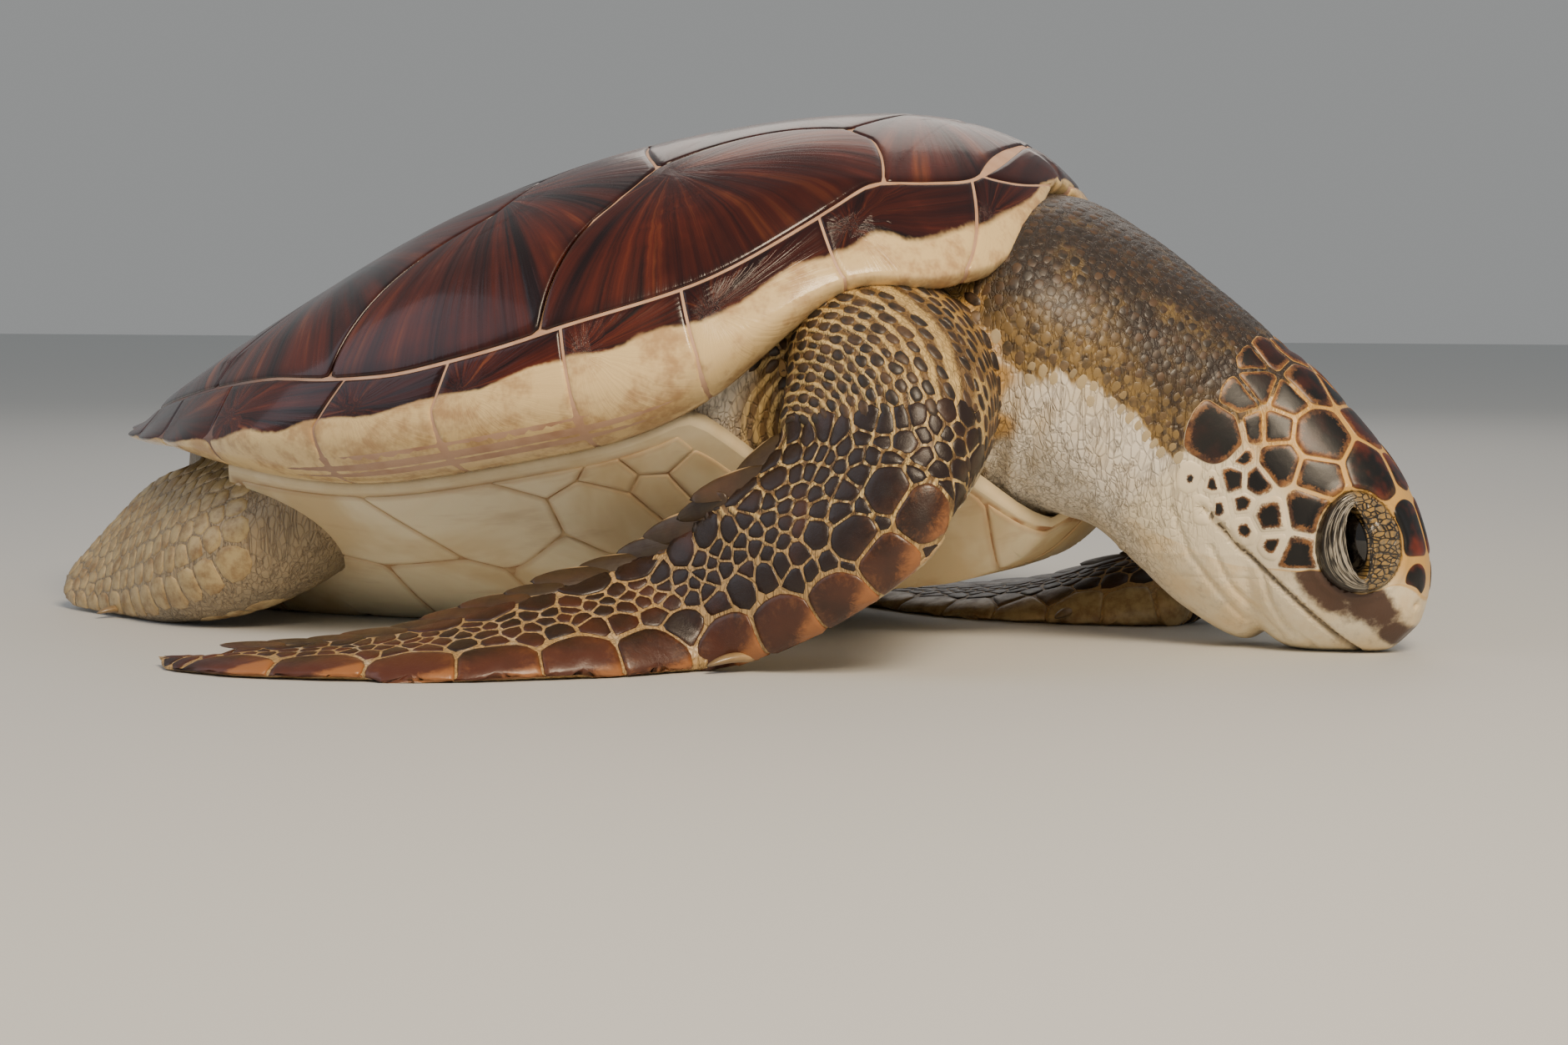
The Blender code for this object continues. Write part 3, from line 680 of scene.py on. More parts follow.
def edgePlate(first, second, number, spec):
    # closed plate of the edge ring between two seams, on a grid that follows the rim round
    half = np.array([0.0, 0.004, 0.012, 0.03, 0.065, 0.13, 0.22, 0.35])
    u = np.concatenate([half, [0.5], 1 - half[::-1]])
    q = np.concatenate([[0.0, 0.008, 0.025, 0.055, 0.1], np.linspace(0.17, 0.82, 9),
                        np.linspace(0.87, 1.13, 9), np.linspace(1.2, 1.85, 6), [1.93, 2.0]])
    (topFrom, rimFrom), (topTo, rimTo) = first, second

    def places(q, u):
        out = np.clip(q, 0, 1)[:, None]
        start = topFrom + (rimFrom - topFrom) * out
        end = topTo + (rimTo - topTo) * out
        return start + (end - start) * u

    rough = edgeBand(places(q, u[None] + 0 * q[:, None]), q[:, None] + 0 * u[None])
    width = np.linalg.norm(np.diff(rough, axis=1), axis=-1).sum(1)
    down = runAlong(rough[:, len(u) // 2])
    trim = spec["seam"] / width[:, None]
    q = np.interp(spec["seam"] + (down[-1] - spec["seam"]) * down / down[-1], down, q)
    down = spec["seam"] + (down[-1] - spec["seam"]) * down / down[-1]
    across = trim + (1 - 2 * trim) * u[None]
    t = places(q, across)
    points = edgeBand(t, q[:, None] + 0 * t)
    tooth = shellSpec["tooth"] * smooth(6.5, 8.5, np.abs(t)) * np.sin(np.pi * u)[None]
    out = rimOut(np.abs(t)) * np.stack([1 + 0 * t, np.where(t < 0, -1.0, 1.0), 1 + 0 * t], -1)
    points = points + out * (tooth * bell(q[:, None] - 1, 0.4))[..., None]
    for _ in range(rimEasing):
        points[1:-1] = points[1:-1] / 2 + (points[:-2] + points[2:]) / 4
    points = toBody(points)
    normal = unit(np.cross(np.gradient(points, axis=1), np.gradient(points, axis=0)))
    normal *= np.sign(normal[len(q) // 4, :, 2].sum())
    fromSide = np.minimum(across, 1 - across) * width[:, None]
    inside = np.minimum(fromSide, np.minimum(down, down[-1] + 2 * mm - down)[:, None]) - spec["seam"]
    inside = np.maximum(inside, 0)
    top = points + normal * plateLift(spec["proud"], inside, spec)[..., None]
    low = points - normal * spec["edgeUnder"]
    verts = np.concatenate([top.reshape(-1, 3), low.reshape(-1, 3)])
    flat = np.stack([t * 0.13, (down[:, None] + 0 * t) / shellSpec["length"]], -1).reshape(-1, 2)
    focus = np.array([places(np.array([0.3]), np.array([[0.85]]))[0, 0] * 0.13, 0.03])
    cream = smooth(-0.16, 0.16, q[:, None] - hermite(creamRows, np.abs(t)) + 0.05 * np.sin(t * 9 + number))
    fields = dict(ray=np.tile(seamlessRay(flat, focus, number), (2, 1)),
                  edge=np.tile(inside.ravel(), 2) * 100, tint=plateTint(number, len(verts)),
                  cream=np.tile(cream.ravel(), 2))
    return verts, sheetFaces(*t.shape), [], fields


def shellBase(spec):
    # closed bowl a little under the plates: over the dome, round the rim, and back inside the wall
    t = np.linspace(0, 12, 193)
    outer = [dome(t, r + 0 * t) for r in (0.0, 0.06, 0.12, 0.2, 0.3, 0.4, 0.5, 0.6, 0.68, 0.75, 0.81)]
    stops = np.concatenate([np.linspace(0, 0.85, 9), np.linspace(0.9, 1.1, 5), np.linspace(1.2, 2.0, 6)])
    band = [edgeBand(t, q + 0 * t) for q in stops]
    inner = []
    for r in (0.93, 0.84, 0.66, 0.44, 0.20, 0.0):
        drop = up * shellSpec["wall"] * (1 - 0.4 * r)
        inner.append(dome(t, r + 0 * t) - rimOut(t) * (shellSpec["wall"] * r) - drop)
    rows = np.array(outer + band + inner)
    place = np.concatenate([[0.0] * len(outer), np.linspace(0, 2, len(band)), [3.0] * len(inner)])
    tooth = shellSpec["tooth"] * smooth(6.5, 8.5, t) * 0.5
    rows += rimOut(t)[None] * (tooth[None] * bell(place - 1, 0.4)[:, None])[..., None]
    rows = toBody(rows)
    normal = np.cross(np.gradient(rows, axis=1), np.gradient(rows, axis=0))
    normal[0] = normal[1]
    normal = unit(normal)
    normal *= np.sign(normal[6, :, 2].sum())
    hidden = len(outer) + len(band)
    rows[:hidden] -= normal[:hidden] * spec["baseDepth"]
    rows[:, [0, -1], 1] = 0.0
    rows[[0, -1], :, 1] = 0.0
    left = rows.reshape(-1, 3)
    quads = gridFaces(*rows.shape[:2])
    quads = np.concatenate([quads, quads[:, ::-1] + len(left)])
    return faceOut(meshFrom("shell_base", np.concatenate([left, left * flipSide]), [quads]), 0.00002)


# ---- horn of the carapace

hornSpec = dict(dark=colour(26, 11, 12), red=colour(86, 33, 20), amber=colour(158, 88, 46),
                cream=colour(236, 206, 150), stain=colour(150, 96, 60), seamPale=colour(206, 168, 140),
                seamRear=colour(96, 84, 88), gloss=0.16)


def hornMaterial():
    nodes, finish = newMaterial("carapaceHorn")
    spec = hornSpec
    ray = nodes.field("ray", "Vector")
    streak = nodes.noise(nodes.place((5.5, 5.5, 0.55), source=ray), 1.0, 4.0, 0.62, 0.3)
    thin = nodes.noise(nodes.place((17, 17, 0.9), source=ray), 1.0, 3.0, 0.6)
    cloud = nodes.noise(nodes.place(), 9.0, 4.0, 0.6, 0.4)
    tone = nodes.ramp(streak, (0.34, spec["dark"]), (0.57, spec["red"]), (0.84, spec["amber"]))
    tone = nodes.mix(nodes.spread(thin, 0.50, 0.72, 0.0, 0.55), tone, spec["dark"])
    tone = nodes.mix(nodes.spread(cloud, 0.42, 0.62, 0.55, 0.0), tone, spec["dark"])
    border = nodes.spread(nodes.field("edge"), 0.0, 0.5, 0.45, 0.0)
    tone = nodes.mix(border, tone, spec["dark"])
    speck = nodes.noise(nodes.place(), 42.0, 4.0, 0.7)
    pale = nodes.mix(nodes.spread(speck, 0.42, 0.64, 0.0, 0.55), spec["cream"], spec["stain"])
    torn = nodes.field("cream") + (cloud - 0.5) * 1.1
    torn = torn + (speck - 0.5) * 0.9
    tone = nodes.mix(nodes.spread(torn, 0.35, 0.72), tone, pale)
    grain = nodes.noise(nodes.place(), 260.0, 3.0, 0.6)
    height = thin * 0.7 + grain * 0.12
    rough = nodes.spread(cloud, 0.3, 0.7, spec["gloss"] * 0.8, spec["gloss"] * 2.0)
    return finish(Base_Color=tone, Roughness=rough, Coat_Weight=0.28, Coat_Roughness=0.10,
                  Specular_IOR_Level=0.32, Normal=nodes.bump(height, 0.0009, 0.5))


def seamMaterial():
    nodes, finish = newMaterial("carapaceSeam")
    forward, _, _ = nodes.split(nodes.place())
    rear = nodes.spread(forward, -0.05, -0.22)
    mottle = nodes.noise(nodes.place(), 60.0, 3.0)
    # the seams turn darker and greyer towards the rear
    tone = nodes.mix(rear, hornSpec["seamPale"], hornSpec["seamRear"])
    tone = nodes.mix(nodes.spread(mottle, 0.35, 0.75, 0.0, 0.45), tone, hornSpec["stain"])
    return finish(Base_Color=tone, Roughness=0.42, Normal=nodes.bump(mottle, 0.0004, 0.5))


horn, seamTone = hornMaterial(), seamMaterial()
addPiece(shellBase(carapaceSpec), seamTone, ["carapace"])
crown, flank, edgeRing = Batch(), Batch(), Batch()


def addFan(batch, corners, focus, number):
    verts, quads, fans, fields = fanPlate(domeAtPlan, np.array(corners), carapaceSpec, focus, number)
    batch.add(verts, quads, fans, cream=np.zeros(len(verts)), **fields)


for number, (corners, focus) in enumerate(middlePlates):
    addFan(crown, corners, focus, number)
for number, (corners, focus) in enumerate(sidePlates):
    for side in (1, -1):
        flip = np.array([1.0, side])
        addFan(flank, corners * flip, focus * flip, number + 7 + 3 * side)
seams = np.array(edgeSeams)
edgeRuns = [(first * side, second * side, number + 20 + 15 * side) for side in (1, -1)
            for number, (first, second) in enumerate(zip(seams[:-1], seams[1:]))]
for first, second, number in edgeRuns + [(-seams[0], seams[0], 50)]:
    verts, quads, fans, fields = edgePlate(first, second, number, carapaceSpec)
    edgeRing.add(verts, quads, fans, **fields)
for name, batch in (("shell_middle_plates", crown), ("shell_side_plates", flank),
                    ("shell_edge_plates", edgeRing)):
    addPiece(batch.mesh(name), horn)
print("carapace done")


# ---- plastron

bellySpec = dict(bridgeFront=0.150, bridgeRear=-0.135, wall=0.007, seam=0.0004, sink=0.0005, proud=0.0002,
                 edge=0.0005, under=0.0016, directions=64, baseDepth=0.0005)
keelRows = (  # underside on the middle line: forward, up
    (-0.245, 0.016), (-0.200, 0.003), (-0.160, 0.000), (-0.080, 0.000), (0.000, 0.005),
    (0.060, 0.012), (0.120, 0.018), (0.180, 0.023), (0.230, 0.031), (0.258, 0.044), (0.276, 0.061),
)
lobeRows = (  # half width of the two lobes: forward, sideways
    (-0.245, 0.012), (-0.225, 0.048), (-0.190, 0.074), (-0.140, 0.096), (0.150, 0.108),
    (0.200, 0.104), (0.240, 0.086), (0.260, 0.062), (0.270, 0.041), (0.276, 0.022),
)
foldLine = toBody(underEdge(np.linspace(3.0, 8.6, 40)))
foldLine = foldLine[np.argsort(foldLine[:, 0])]


def bellyHalf(x):
    # half width of the plastron: its lobes, and between them out to the folded edge of the shell
    reach = np.interp(x, foldLine[:, 0], foldLine[:, 1]) - 0.0015
    front, rear = bellySpec["bridgeFront"], bellySpec["bridgeRear"]
    share = smooth(rear - 0.030, rear + 0.012, x) * (1 - smooth(front - 0.012, front + 0.030, x))
    lobe = hermite(lobeRows, x)
    return lobe + (reach - lobe) * share


def bellyHeight(x, y):
    # flat in the middle and rising on each side as a power curve up to the folded edge of the shell
    low = hermite(keelRows, x)
    reach = np.interp(x, foldLine[:, 0], foldLine[:, 1])
    top = np.interp(x, foldLine[:, 0], foldLine[:, 2]) - 0.004
    flat = 0.080 - 0.040 * smooth(0.10, 0.22, x)
    u = np.clip((np.abs(y) - flat) / np.maximum(reach - flat, 0.02), 0, 1.3)
    return np.maximum(low + (top - low) * u ** 1.25, 0.0)


def bellyAt(x, y):
    return np.stack([x, y, bellyHeight(x, y)], -1)


def bellyBase(spec):
    # closed plate: underside and top side on one grid, joined round the edge
    x = np.concatenate([np.linspace(-0.244, -0.10, 24), np.linspace(-0.09, 0.13, 30),
                        np.linspace(0.137, 0.2755, 30)])
    across = np.sin(np.linspace(-math.pi / 2, math.pi / 2, 49))
    half = bellyHalf(x)
    x, y = x[:, None] + 0 * across[None], half[:, None] * across[None]
    low = bellyHeight(x, y)
    steep = np.gradient(low, axis=1) / np.maximum(np.gradient(y, axis=1), 1e-6)
    thick = spec["wall"] * np.sqrt(1 + steep ** 2)
    tuck = np.abs(across)[None] ** 8 * 0.0012
    bottom = np.stack([x, y, low + tuck + spec["baseDepth"]], -1)
    top = np.stack([x, y, low + thick - tuck], -1)
    out = np.abs(across)[None]
    # bare front of the bridge
    corner = smooth(0.126, 0.138, x) * smooth(0.55, 0.70, out) * smooth(0.195, 0.180, x)
    rim = np.maximum(smooth(0.972, 0.990, out) + 0 * x, corner).ravel()
    verts = np.concatenate([bottom.reshape(-1, 3), top.reshape(-1, 3)])
    return faceOut(meshFrom("belly_base", verts, [sheetFaces(*x.shape)],
                            dict(rim=np.concatenate([rim, 1 + 0 * rim]))))


# corners of the belly's plates on the left: forward, share of the way out
bellyPlates = [[(0.238, 0.03), (0.250, 0.97), (0.2735, 0.97), (0.2735, 0.03)],
               [(0.165, 0.02), (0.178, 0.98), (0.250, 0.97), (0.238, 0.02)],
               [(0.020, 0.015), (0.018, 0.68), (0.029, 0.69), (0.062, 0.79), (0.076, 0.70), (0.113, 0.62),
                (0.125, 0.56), (0.152, 0.66), (0.170, 0.98), (0.178, 0.98), (0.165, 0.015)],
                [(-0.055, 0.015), (-0.050, 0.72), (0.000, 0.74), (0.018, 0.68), (0.020, 0.015)],
                [(-0.145, 0.02), (-0.152, 0.98), (-0.118, 0.98), (-0.100, 0.80), (-0.050, 0.72),
                 (-0.055, 0.02)], [(-0.242, 0.05), (-0.240, 0.95), (-0.152, 0.98), (-0.145, 0.03)],
                 [(-0.050, 0.72), (-0.100, 0.80), (-0.118, 0.985), (-0.030, 0.985), (-0.006, 0.80),
                  (0.000, 0.74)],
                  [(0.000, 0.74), (-0.006, 0.80), (-0.030, 0.985), (0.045, 0.985), (0.066, 0.91),
                   (0.062, 0.79), (0.029, 0.69), (0.018, 0.68)],
                   [(0.045, 0.985), (0.092, 0.985), (0.085, 0.95), (0.066, 0.91)],
                   [(0.066, 0.91), (0.085, 0.95), (0.105, 0.89), (0.113, 0.78), (0.113, 0.62),
                    (0.076, 0.70), (0.062, 0.79)],
                    [(0.085, 0.95), (0.092, 0.985), (0.108, 0.985), (0.113, 0.93), (0.105, 0.89)],
                    [(0.105, 0.89), (0.113, 0.93), (0.125, 0.91), (0.130, 0.81), (0.113, 0.78)],
                    [(0.113, 0.62), (0.113, 0.78), (0.130, 0.81), (0.150, 0.75), (0.152, 0.66),
                     (0.125, 0.56)],
                     [(0.108, 0.985), (0.136, 0.985), (0.140, 0.94), (0.125, 0.91), (0.113, 0.93)],
                     [(0.130, 0.81), (0.125, 0.91), (0.140, 0.94), (0.155, 0.90), (0.150, 0.75)], ]


def bellyOutline(corners):
    closed = np.array(corners + corners[:1])
    u = np.arange(len(closed))
    fine = np.linspace(0, len(corners), len(corners) * 8, endpoint=False)
    x, share = np.interp(fine, u, closed[:, 0]), np.interp(fine, u, closed[:, 1])
    return np.stack([x, share * bellyHalf(x)], -1)


ivorySpec = dict(ivory=colour(240, 226, 192), shade=colour(214, 190, 146), stain=colour(176, 138, 96),
                 seam=colour(164, 122, 84))


def ivoryMaterial():
    nodes, finish = newMaterial("plastronHorn")
    spec = ivorySpec
    cloud = nodes.noise(nodes.place(), 11.0, 4.0, 0.6, 0.5)
    drawn = nodes.grain((14, 60, 60), 4.0, 0.6)
    tone = nodes.mix(nodes.spread(cloud, 0.38, 0.66), spec["ivory"], spec["shade"])
    tone = nodes.mix(nodes.spread(drawn, 0.52, 0.74, 0.0, 0.35), tone, spec["stain"])
    border = nodes.spread(nodes.field("edge"), 0.0, 0.35, 0.45, 0.0)
    tone = nodes.mix(border, tone, spec["stain"])
    grain = nodes.noise(nodes.place(), 180.0, 3.0, 0.6)
    height = drawn + grain * 0.2
    rough = nodes.spread(cloud, 0.3, 0.7, 0.30, 0.46)
    return finish(Base_Color=tone, Roughness=rough, Subsurface_Weight=0.08, Subsurface_Scale=0.004,
                  Normal=nodes.bump(height, 0.0006, 0.5))


def ivorySeamMaterial():
    nodes, finish = newMaterial("plastronSeam")
    mottle = nodes.noise(nodes.place(), 70.0, 3.0)
    tone = nodes.mix(nodes.spread(mottle, 0.35, 0.7), ivorySpec["seam"], ivorySpec["shade"])
    tone = nodes.mix(nodes.field("rim"), tone, nodes.mix(mottle, ivorySpec["ivory"], ivorySpec["shade"]))
    return finish(Base_Color=tone, Roughness=0.55, Normal=nodes.bump(mottle, 0.0004, 0.5))


addPiece(bellyBase(bellySpec), ivorySeamMaterial(), ["plastron"])
belly = Batch()
for number, corners in enumerate(bellyPlates):
    for side in (1, -1):
        path = bellyOutline(corners) * np.array([1.0, side])
        verts, quads, fans, fields = fanPlate(bellyAt, path, bellySpec, None, number, -1.0)
        verts[:, 2] = np.maximum(verts[:, 2], 0.0)
        belly.add(verts, quads, fans, **fields)
addPiece(belly.mesh("belly_plates"), ivoryMaterial())
print("plastron done")


# ---- skin: forms of the soft body

limbRows = dict(  # each row in mm: leading edge x y z, trailing edge x y z, thickness
    armRight=(
        (215, -70, 75, 160, -70, 185, 90), (246, -112, 77, 172, -108, 184, 108),
        (268, -148, 78, 180, -142, 166, 90), (277, -170, 80, 184, -160, 128, 58),
        (276, -184, 76, 186, -172, 110, 34)),
    bladeRight=(
        (279, -182, 82, 188, -166, 112, 50), (272, -192, 58, 180, -184, 90, 36),
        (247, -199, 36, 165, -192, 78, 27), (211, -201, 15, 143, -188, 62, 21),
        (171, -205, 1, 116, -190, 47, 18), (130, -255, 0, 77, -224, 31, 14.5),
        (70, -298, 0, 24, -254, 15, 11.5), (-4, -318, 0, -40, -283, 8, 8.5),
        (-56, -313, 0, -75, -296, 5, 5)),
    armLeft=(
        (150, 105, 85, 130, 130, 150, 70), (200, 125, 70, 185, 155, 130, 75),
        (250, 120, 50, 250, 158, 100, 66), (292, 96, 26, 300, 145, 70, 56),
        (318, 66, 12, 334, 118, 48, 44)),
    bladeLeft=(
        (312, 72, 12, 328, 125, 52, 48), (302, 54, 2, 308, 112, 40, 36),
        (268, 42, 0, 262, 104, 30, 24), (222, 38, 0, 212, 104, 16, 14),
        (168, 48, 0, 150, 114, 9, 10), (105, 86, 0, 78, 146, 9, 9),
        (45, 140, 0, 10, 192, 12, 8.5), (-8, 200, 0, -40, 236, 10, 7.5),
        (-45, 246, 0, -60, 262, 6, 5)),
    hindRight=(
        (-60, -135, 55, -60, -85, 100, 60), (-85, -162, 34, -92, -100, 98, 75),
        (-125, -172, 14, -138, -108, 90, 72), (-168, -162, 3, -180, -106, 82, 54),
        (-203, -148, 0, -216, -104, 73, 32), (-232, -137, 0, -244, -104, 53, 18),
        (-256, -128, 1, -266, -105, 33, 11), (-274, -119, 4, -279, -108, 19, 6)),
)
limbRows["hindLeft"] = tuple((a, -b, c, d, -e, f, g) for a, b, c, d, e, f, g in limbRows["hindRight"])
limbBlunt = dict(armRight=0.9, armLeft=0.9, bladeRight=0.30, bladeLeft=0.45, hindRight=0.55, hindLeft=0.55)
neckRows = (  # in mm: top x z, bottom x z, half width
    (205, 214, 215, 52, 88), (260, 221, 262, 60, 92), (298, 203.5, 288, 55, 84),
    (335, 177.5, 308, 37, 67), (364, 155, 330, 17, 52), (386, 132, 360, 3, 42),
    (394, 112, 376, 20, 26),
)
tailRows = (
    (-190, 70, -195, 26, 26), (-225, 60, -228, 24, 20),
    (-252, 50, -256, 22, 14), (-275, 38, -279, 20, 9),
    (-288, 28, -290, 19, 4),
)
headRows = (  # forward, top, bottom, half width
    (-0.022, 0.351, 0.285, 0.026), (-0.010, 0.3645, 0.276, 0.035), (0.010, 0.3705, 0.270, 0.0410),
    (0.030, 0.3700, 0.268, 0.0435), (0.050, 0.3690, 0.267, 0.0440), (0.070, 0.3670, 0.266, 0.0425),
    (0.086, 0.3630, 0.2665, 0.0395), (0.100, 0.3570, 0.270, 0.0350), (0.112, 0.3500, 0.280, 0.0290),
    (0.122, 0.3415, 0.291, 0.0225), (0.129, 0.3330, 0.298, 0.0160), (0.134, 0.3240, 0.305, 0.0090),
)


def onFloor(points):
    # nothing goes below the floor
    points[..., 2] = np.maximum(points[..., 2], 0.0)
    return points


def alongRows(rows, s):
    # every column of the rows at the places s, where one row is one step
    table = np.column_stack([np.arange(len(rows)), np.array(rows, float) / 1000])
    return np.stack([hermite(table, s, k) for k in range(1, table.shape[1])])


def limbPoint(name, s, angle):
    # flattened section swung from the leading edge (angle 0) over the top to the trailing edge
    stops = [np.asarray(s) + e for e in (0.0, 0.25, -0.25)]
    here, after, before = [np.moveaxis(alongRows(limbRows[name], stop), 0, -1) for stop in stops]
    chord = here[..., 3:6] - here[..., 0:3]
    step = after - before
    normal = unit(np.cross(step[..., 0:3] + step[..., 3:6], chord))
    along = ((1 - np.cos(angle)) / 2)[..., None]
    taper = 1 - (1 - limbBlunt[name]) * along ** 1.5
    return onFloor(here[..., 0:3] + along * chord
                   + np.sin(angle)[..., None] * taper * here[..., 6:7] / 2 * normal)


def ovalPoint(rows, s, angle, power=2.2):
    # rounded oval between a top line and a bottom line on the middle plane
    tx, tz, bx, bz, half = alongRows(rows, s)
    c, n = signedPower(np.cos(angle), 2 / power), signedPower(np.sin(angle), 2 / power)
    return onFloor(np.stack([(tx + bx) / 2 + c * (tx - bx) / 2, n * half,
                             (tz + bz) / 2 + c * (tz - bz) / 2], -1))


def headPoint(along, angle):
    # section of the head: angle 0 on top, a quarter turn on its left side
    top, low, half = [hermite(headRows, along, k) for k in (1, 2, 3)]
    c, n = np.cos(angle), np.sin(angle)
    width = half * signedPower(n, 0.86) * (1 - 0.10 * np.maximum(c, 0))
    return onFloor(headToBody(along, width, (top + low) / 2 + signedPower(c, 0.90) * (top - low) / 2))


def corePoint(t, k):
    # soft wall between the two shells, behind the limbs: a low ring inside the edge plates
    rim = dome(t, 0.90 + 0 * t)
    under = underEdge(t)
    wall = toBody(np.stack([rim[..., 0], rim[..., 1],
                            np.maximum(under[..., 2] + 0.006, rim[..., 2] - 0.013)], -1))
    inner = toBody(np.stack([rim[..., 0] * 0.93, rim[..., 1] * 0.93, under[..., 2] - 0.002], -1))
    floor = toBody(dome(t, 0.80 + 0 * t))
    floor[..., 2] = bellyHeight(floor[..., 0], floor[..., 1]) + 0.010
    deep = toBody(dome(t, 0.45 + 0 * t))
    high = deep.copy()
    deep[..., 2] = bellyHeight(deep[..., 0], deep[..., 1]) + 0.012
    high[..., 2] = np.maximum(deep[..., 2] + 0.03, 0.075)
    floor[..., 2] = np.minimum(floor[..., 2], inner[..., 2] - 0.003)
    return (high, wall, inner, floor, deep)[k]


def softForms():
    turn = np.linspace(0, 2 * np.pi, 56, endpoint=False)
    forms = []
    for name, rows in limbRows.items():
        steps = np.linspace(0, len(rows) - 1, (len(rows) - 1) * 8 + 1)
        forms.append(tube([limbPoint(name, s + 0 * turn, turn) for s in steps]))
    for rows, power in ((neckRows, 2.2), (tailRows, 2.0)):
        steps = np.linspace(0, len(rows) - 1, (len(rows) - 1) * 8 + 1)
        forms.append(tube([ovalPoint(rows, s + 0 * turn, turn, power) for s in steps]))
    stops = np.concatenate([np.linspace(-0.022, 0.11, 60), np.linspace(0.112, 0.134, 16)])
    forms.append(tube([headPoint(a + 0 * turn, turn) for a in stops]))
    t = np.linspace(0, 12, 97)
    rings = []
    for k in range(5):
        left = corePoint(t, k)
        rings.append(np.concatenate([left, left[-2:0:-1] * flipSide]))
    forms.append(tube(rings))
    return forms


skinSpec = dict(voxel=0.0039, zoom=1.25, zoomReach=0.085, floorZoom=1.6, floorReach=0.025, easing=5,
                hiddenKeep=0.55)
zoomMiddle = headToBody(0.055, 0.0, 0.318)


def stretched(points, spec):
    # the head drawn out from its middle and everything near the floor drawn up, so the mesh is finer there
    d = points - zoomMiddle
    far = np.linalg.norm(d, axis=-1, keepdims=True)
    points = zoomMiddle + d * (1 + spec["zoom"] * np.minimum(far, spec["zoomReach"]) / np.maximum(far, 1e-9))
    z = points[..., 2:3]
    rise = spec["floorZoom"] * np.clip(z + 0.002, 0, spec["floorReach"])
    return np.concatenate([points[..., :2], z + rise], -1)


def unstretched(points, spec):
    z = points[..., 2:3]
    top = spec["floorReach"] * (1 + spec["floorZoom"])
    inside = (z + spec["floorZoom"] * -0.002) / (1 + spec["floorZoom"])
    z = np.where(z + 0.002 > top, z - spec["floorZoom"] * spec["floorReach"],
                 np.where(z < -0.002, z, inside))
    points = np.concatenate([points[..., :2], z], -1)
    d = points - zoomMiddle
    far = np.linalg.norm(d, axis=-1, keepdims=True)
    near = far / (1 + spec["zoom"])
    back = np.where(near < spec["zoomReach"], near, far - spec["zoom"] * spec["zoomReach"])
    return zoomMiddle + d * back / np.maximum(far, 1e-9)


def evaluated(piece):
    # the piece's mesh with its modifiers carried out
    graph = bpy.context.evaluated_depsgraph_get()
    return bpy.data.meshes.new_from_object(piece.evaluated_get(graph))


def places(mesh):
    co = np.empty(len(mesh.vertices) * 3, np.float32)
    mesh.vertices.foreach_get("co", co)
    return co.reshape(-1, 3).astype(float)


def normals(mesh):
    out = np.empty(len(mesh.vertices) * 3, np.float32)
    mesh.vertex_normals.foreach_get("vector", out)
    return out.reshape(-1, 3).astype(float)


def setPlaces(mesh, points):
    mesh.vertices.foreach_set("co", points.astype(np.float32).ravel())
    mesh.update()


def unionSkin(spec):
    # all soft forms as one closed surface, remeshed in the stretched space and eased
    body = Batch()
    for points, quads, fans in softForms():
        body.add(stretched(points, spec) - toRow, quads, fans)
    piece = linked("skin_raw", body.mesh("skin_raw"))
    remesh = piece.modifiers.new("union", "REMESH")
    remesh.mode = "VOXEL"
    remesh.voxel_size = spec["voxel"]
    ease = piece.modifiers.new("ease", "SMOOTH")
    ease.factor = 0.5
    ease.iterations = spec["easing"]
    mesh = evaluated(piece)
    bpy.data.objects.remove(piece)
    setPlaces(mesh, unstretched(places(mesh), spec))
    return lightened(mesh, spec)


def lightened(mesh, spec):
    # fewer faces where the shells hide the skin
    points = places(mesh)
    t, r = planToRim(points[:, 0] / shellSpec["length"], np.abs(points[:, 1]) / shellSpec["length"])
    low = bellyHeight(points[:, 0], points[:, 1]) + 0.004
    hidden = (r < 0.76) & (points[:, 2] > low) & (points[:, 2] < toBody(dome(t, r))[:, 2] - 0.006)
    hidden &= (np.abs(points[:, 0]) < 0.20)
    piece = linked("skin_hidden", mesh)
    group = piece.vertex_groups.new(name="hidden")
    group.add(np.nonzero(hidden)[0].tolist(), 1.0, "REPLACE")
    fewer = piece.modifiers.new("fewer", "DECIMATE")
    fewer.ratio = spec["hiddenKeep"]
    fewer.vertex_group = "hidden"
    light = evaluated(piece)
    bpy.data.objects.remove(piece)
    return light


# ---- skin: creases, folds and the fields that its colours read

crook = np.array([0.198, -0.185, 0.103])   # the folds of the right shoulder lie in arcs about this point
crookFirst, crookGap = 0.012, 0.0047       # first arc and the step from one arc to the next
elbowLeft = np.array([0.318, 0.105, 0.040])
paleRows = (  # height above which the side of the neck is dark: forward, up
    (0.10, 0.090), (0.200, 0.110), (0.255, 0.128), (0.288, 0.128), (0.311, 0.120), (0.335, 0.092),
    (0.349, 0.086), (0.360, 0.085), (0.40, 0.085),
)
mouthPath = [(0.030, 0.2975), (0.056, 0.2955), (0.090, 0.2962), (0.108, 0.2961), (0.124, 0.2950)]
nostrilPlace = np.array([0.1284, 0.0095, 0.3310])   # along, side, height
jawFolds = (  # lines under the mouth: the sheath of the lower jaw, the fold behind it
    [(0.069, 0.2945), (0.082, 0.2860), (0.094, 0.2822), (0.108, 0.2830)],
    [(0.045, 0.2860), (0.063, 0.2784), (0.079, 0.2768), (0.096, 0.2750)],
    [(0.020, 0.2870), (0.040, 0.2755), (0.060, 0.2715), (0.078, 0.2690)],
)


def toHead(points):
    # along, side and height in the head's frame
    c, s = headTurn()
    x, y, z = points[..., 0], points[..., 1], points[..., 2]
    return np.stack([x * c - z * s - headSpec["start"], y, x * s + z * c], -1)


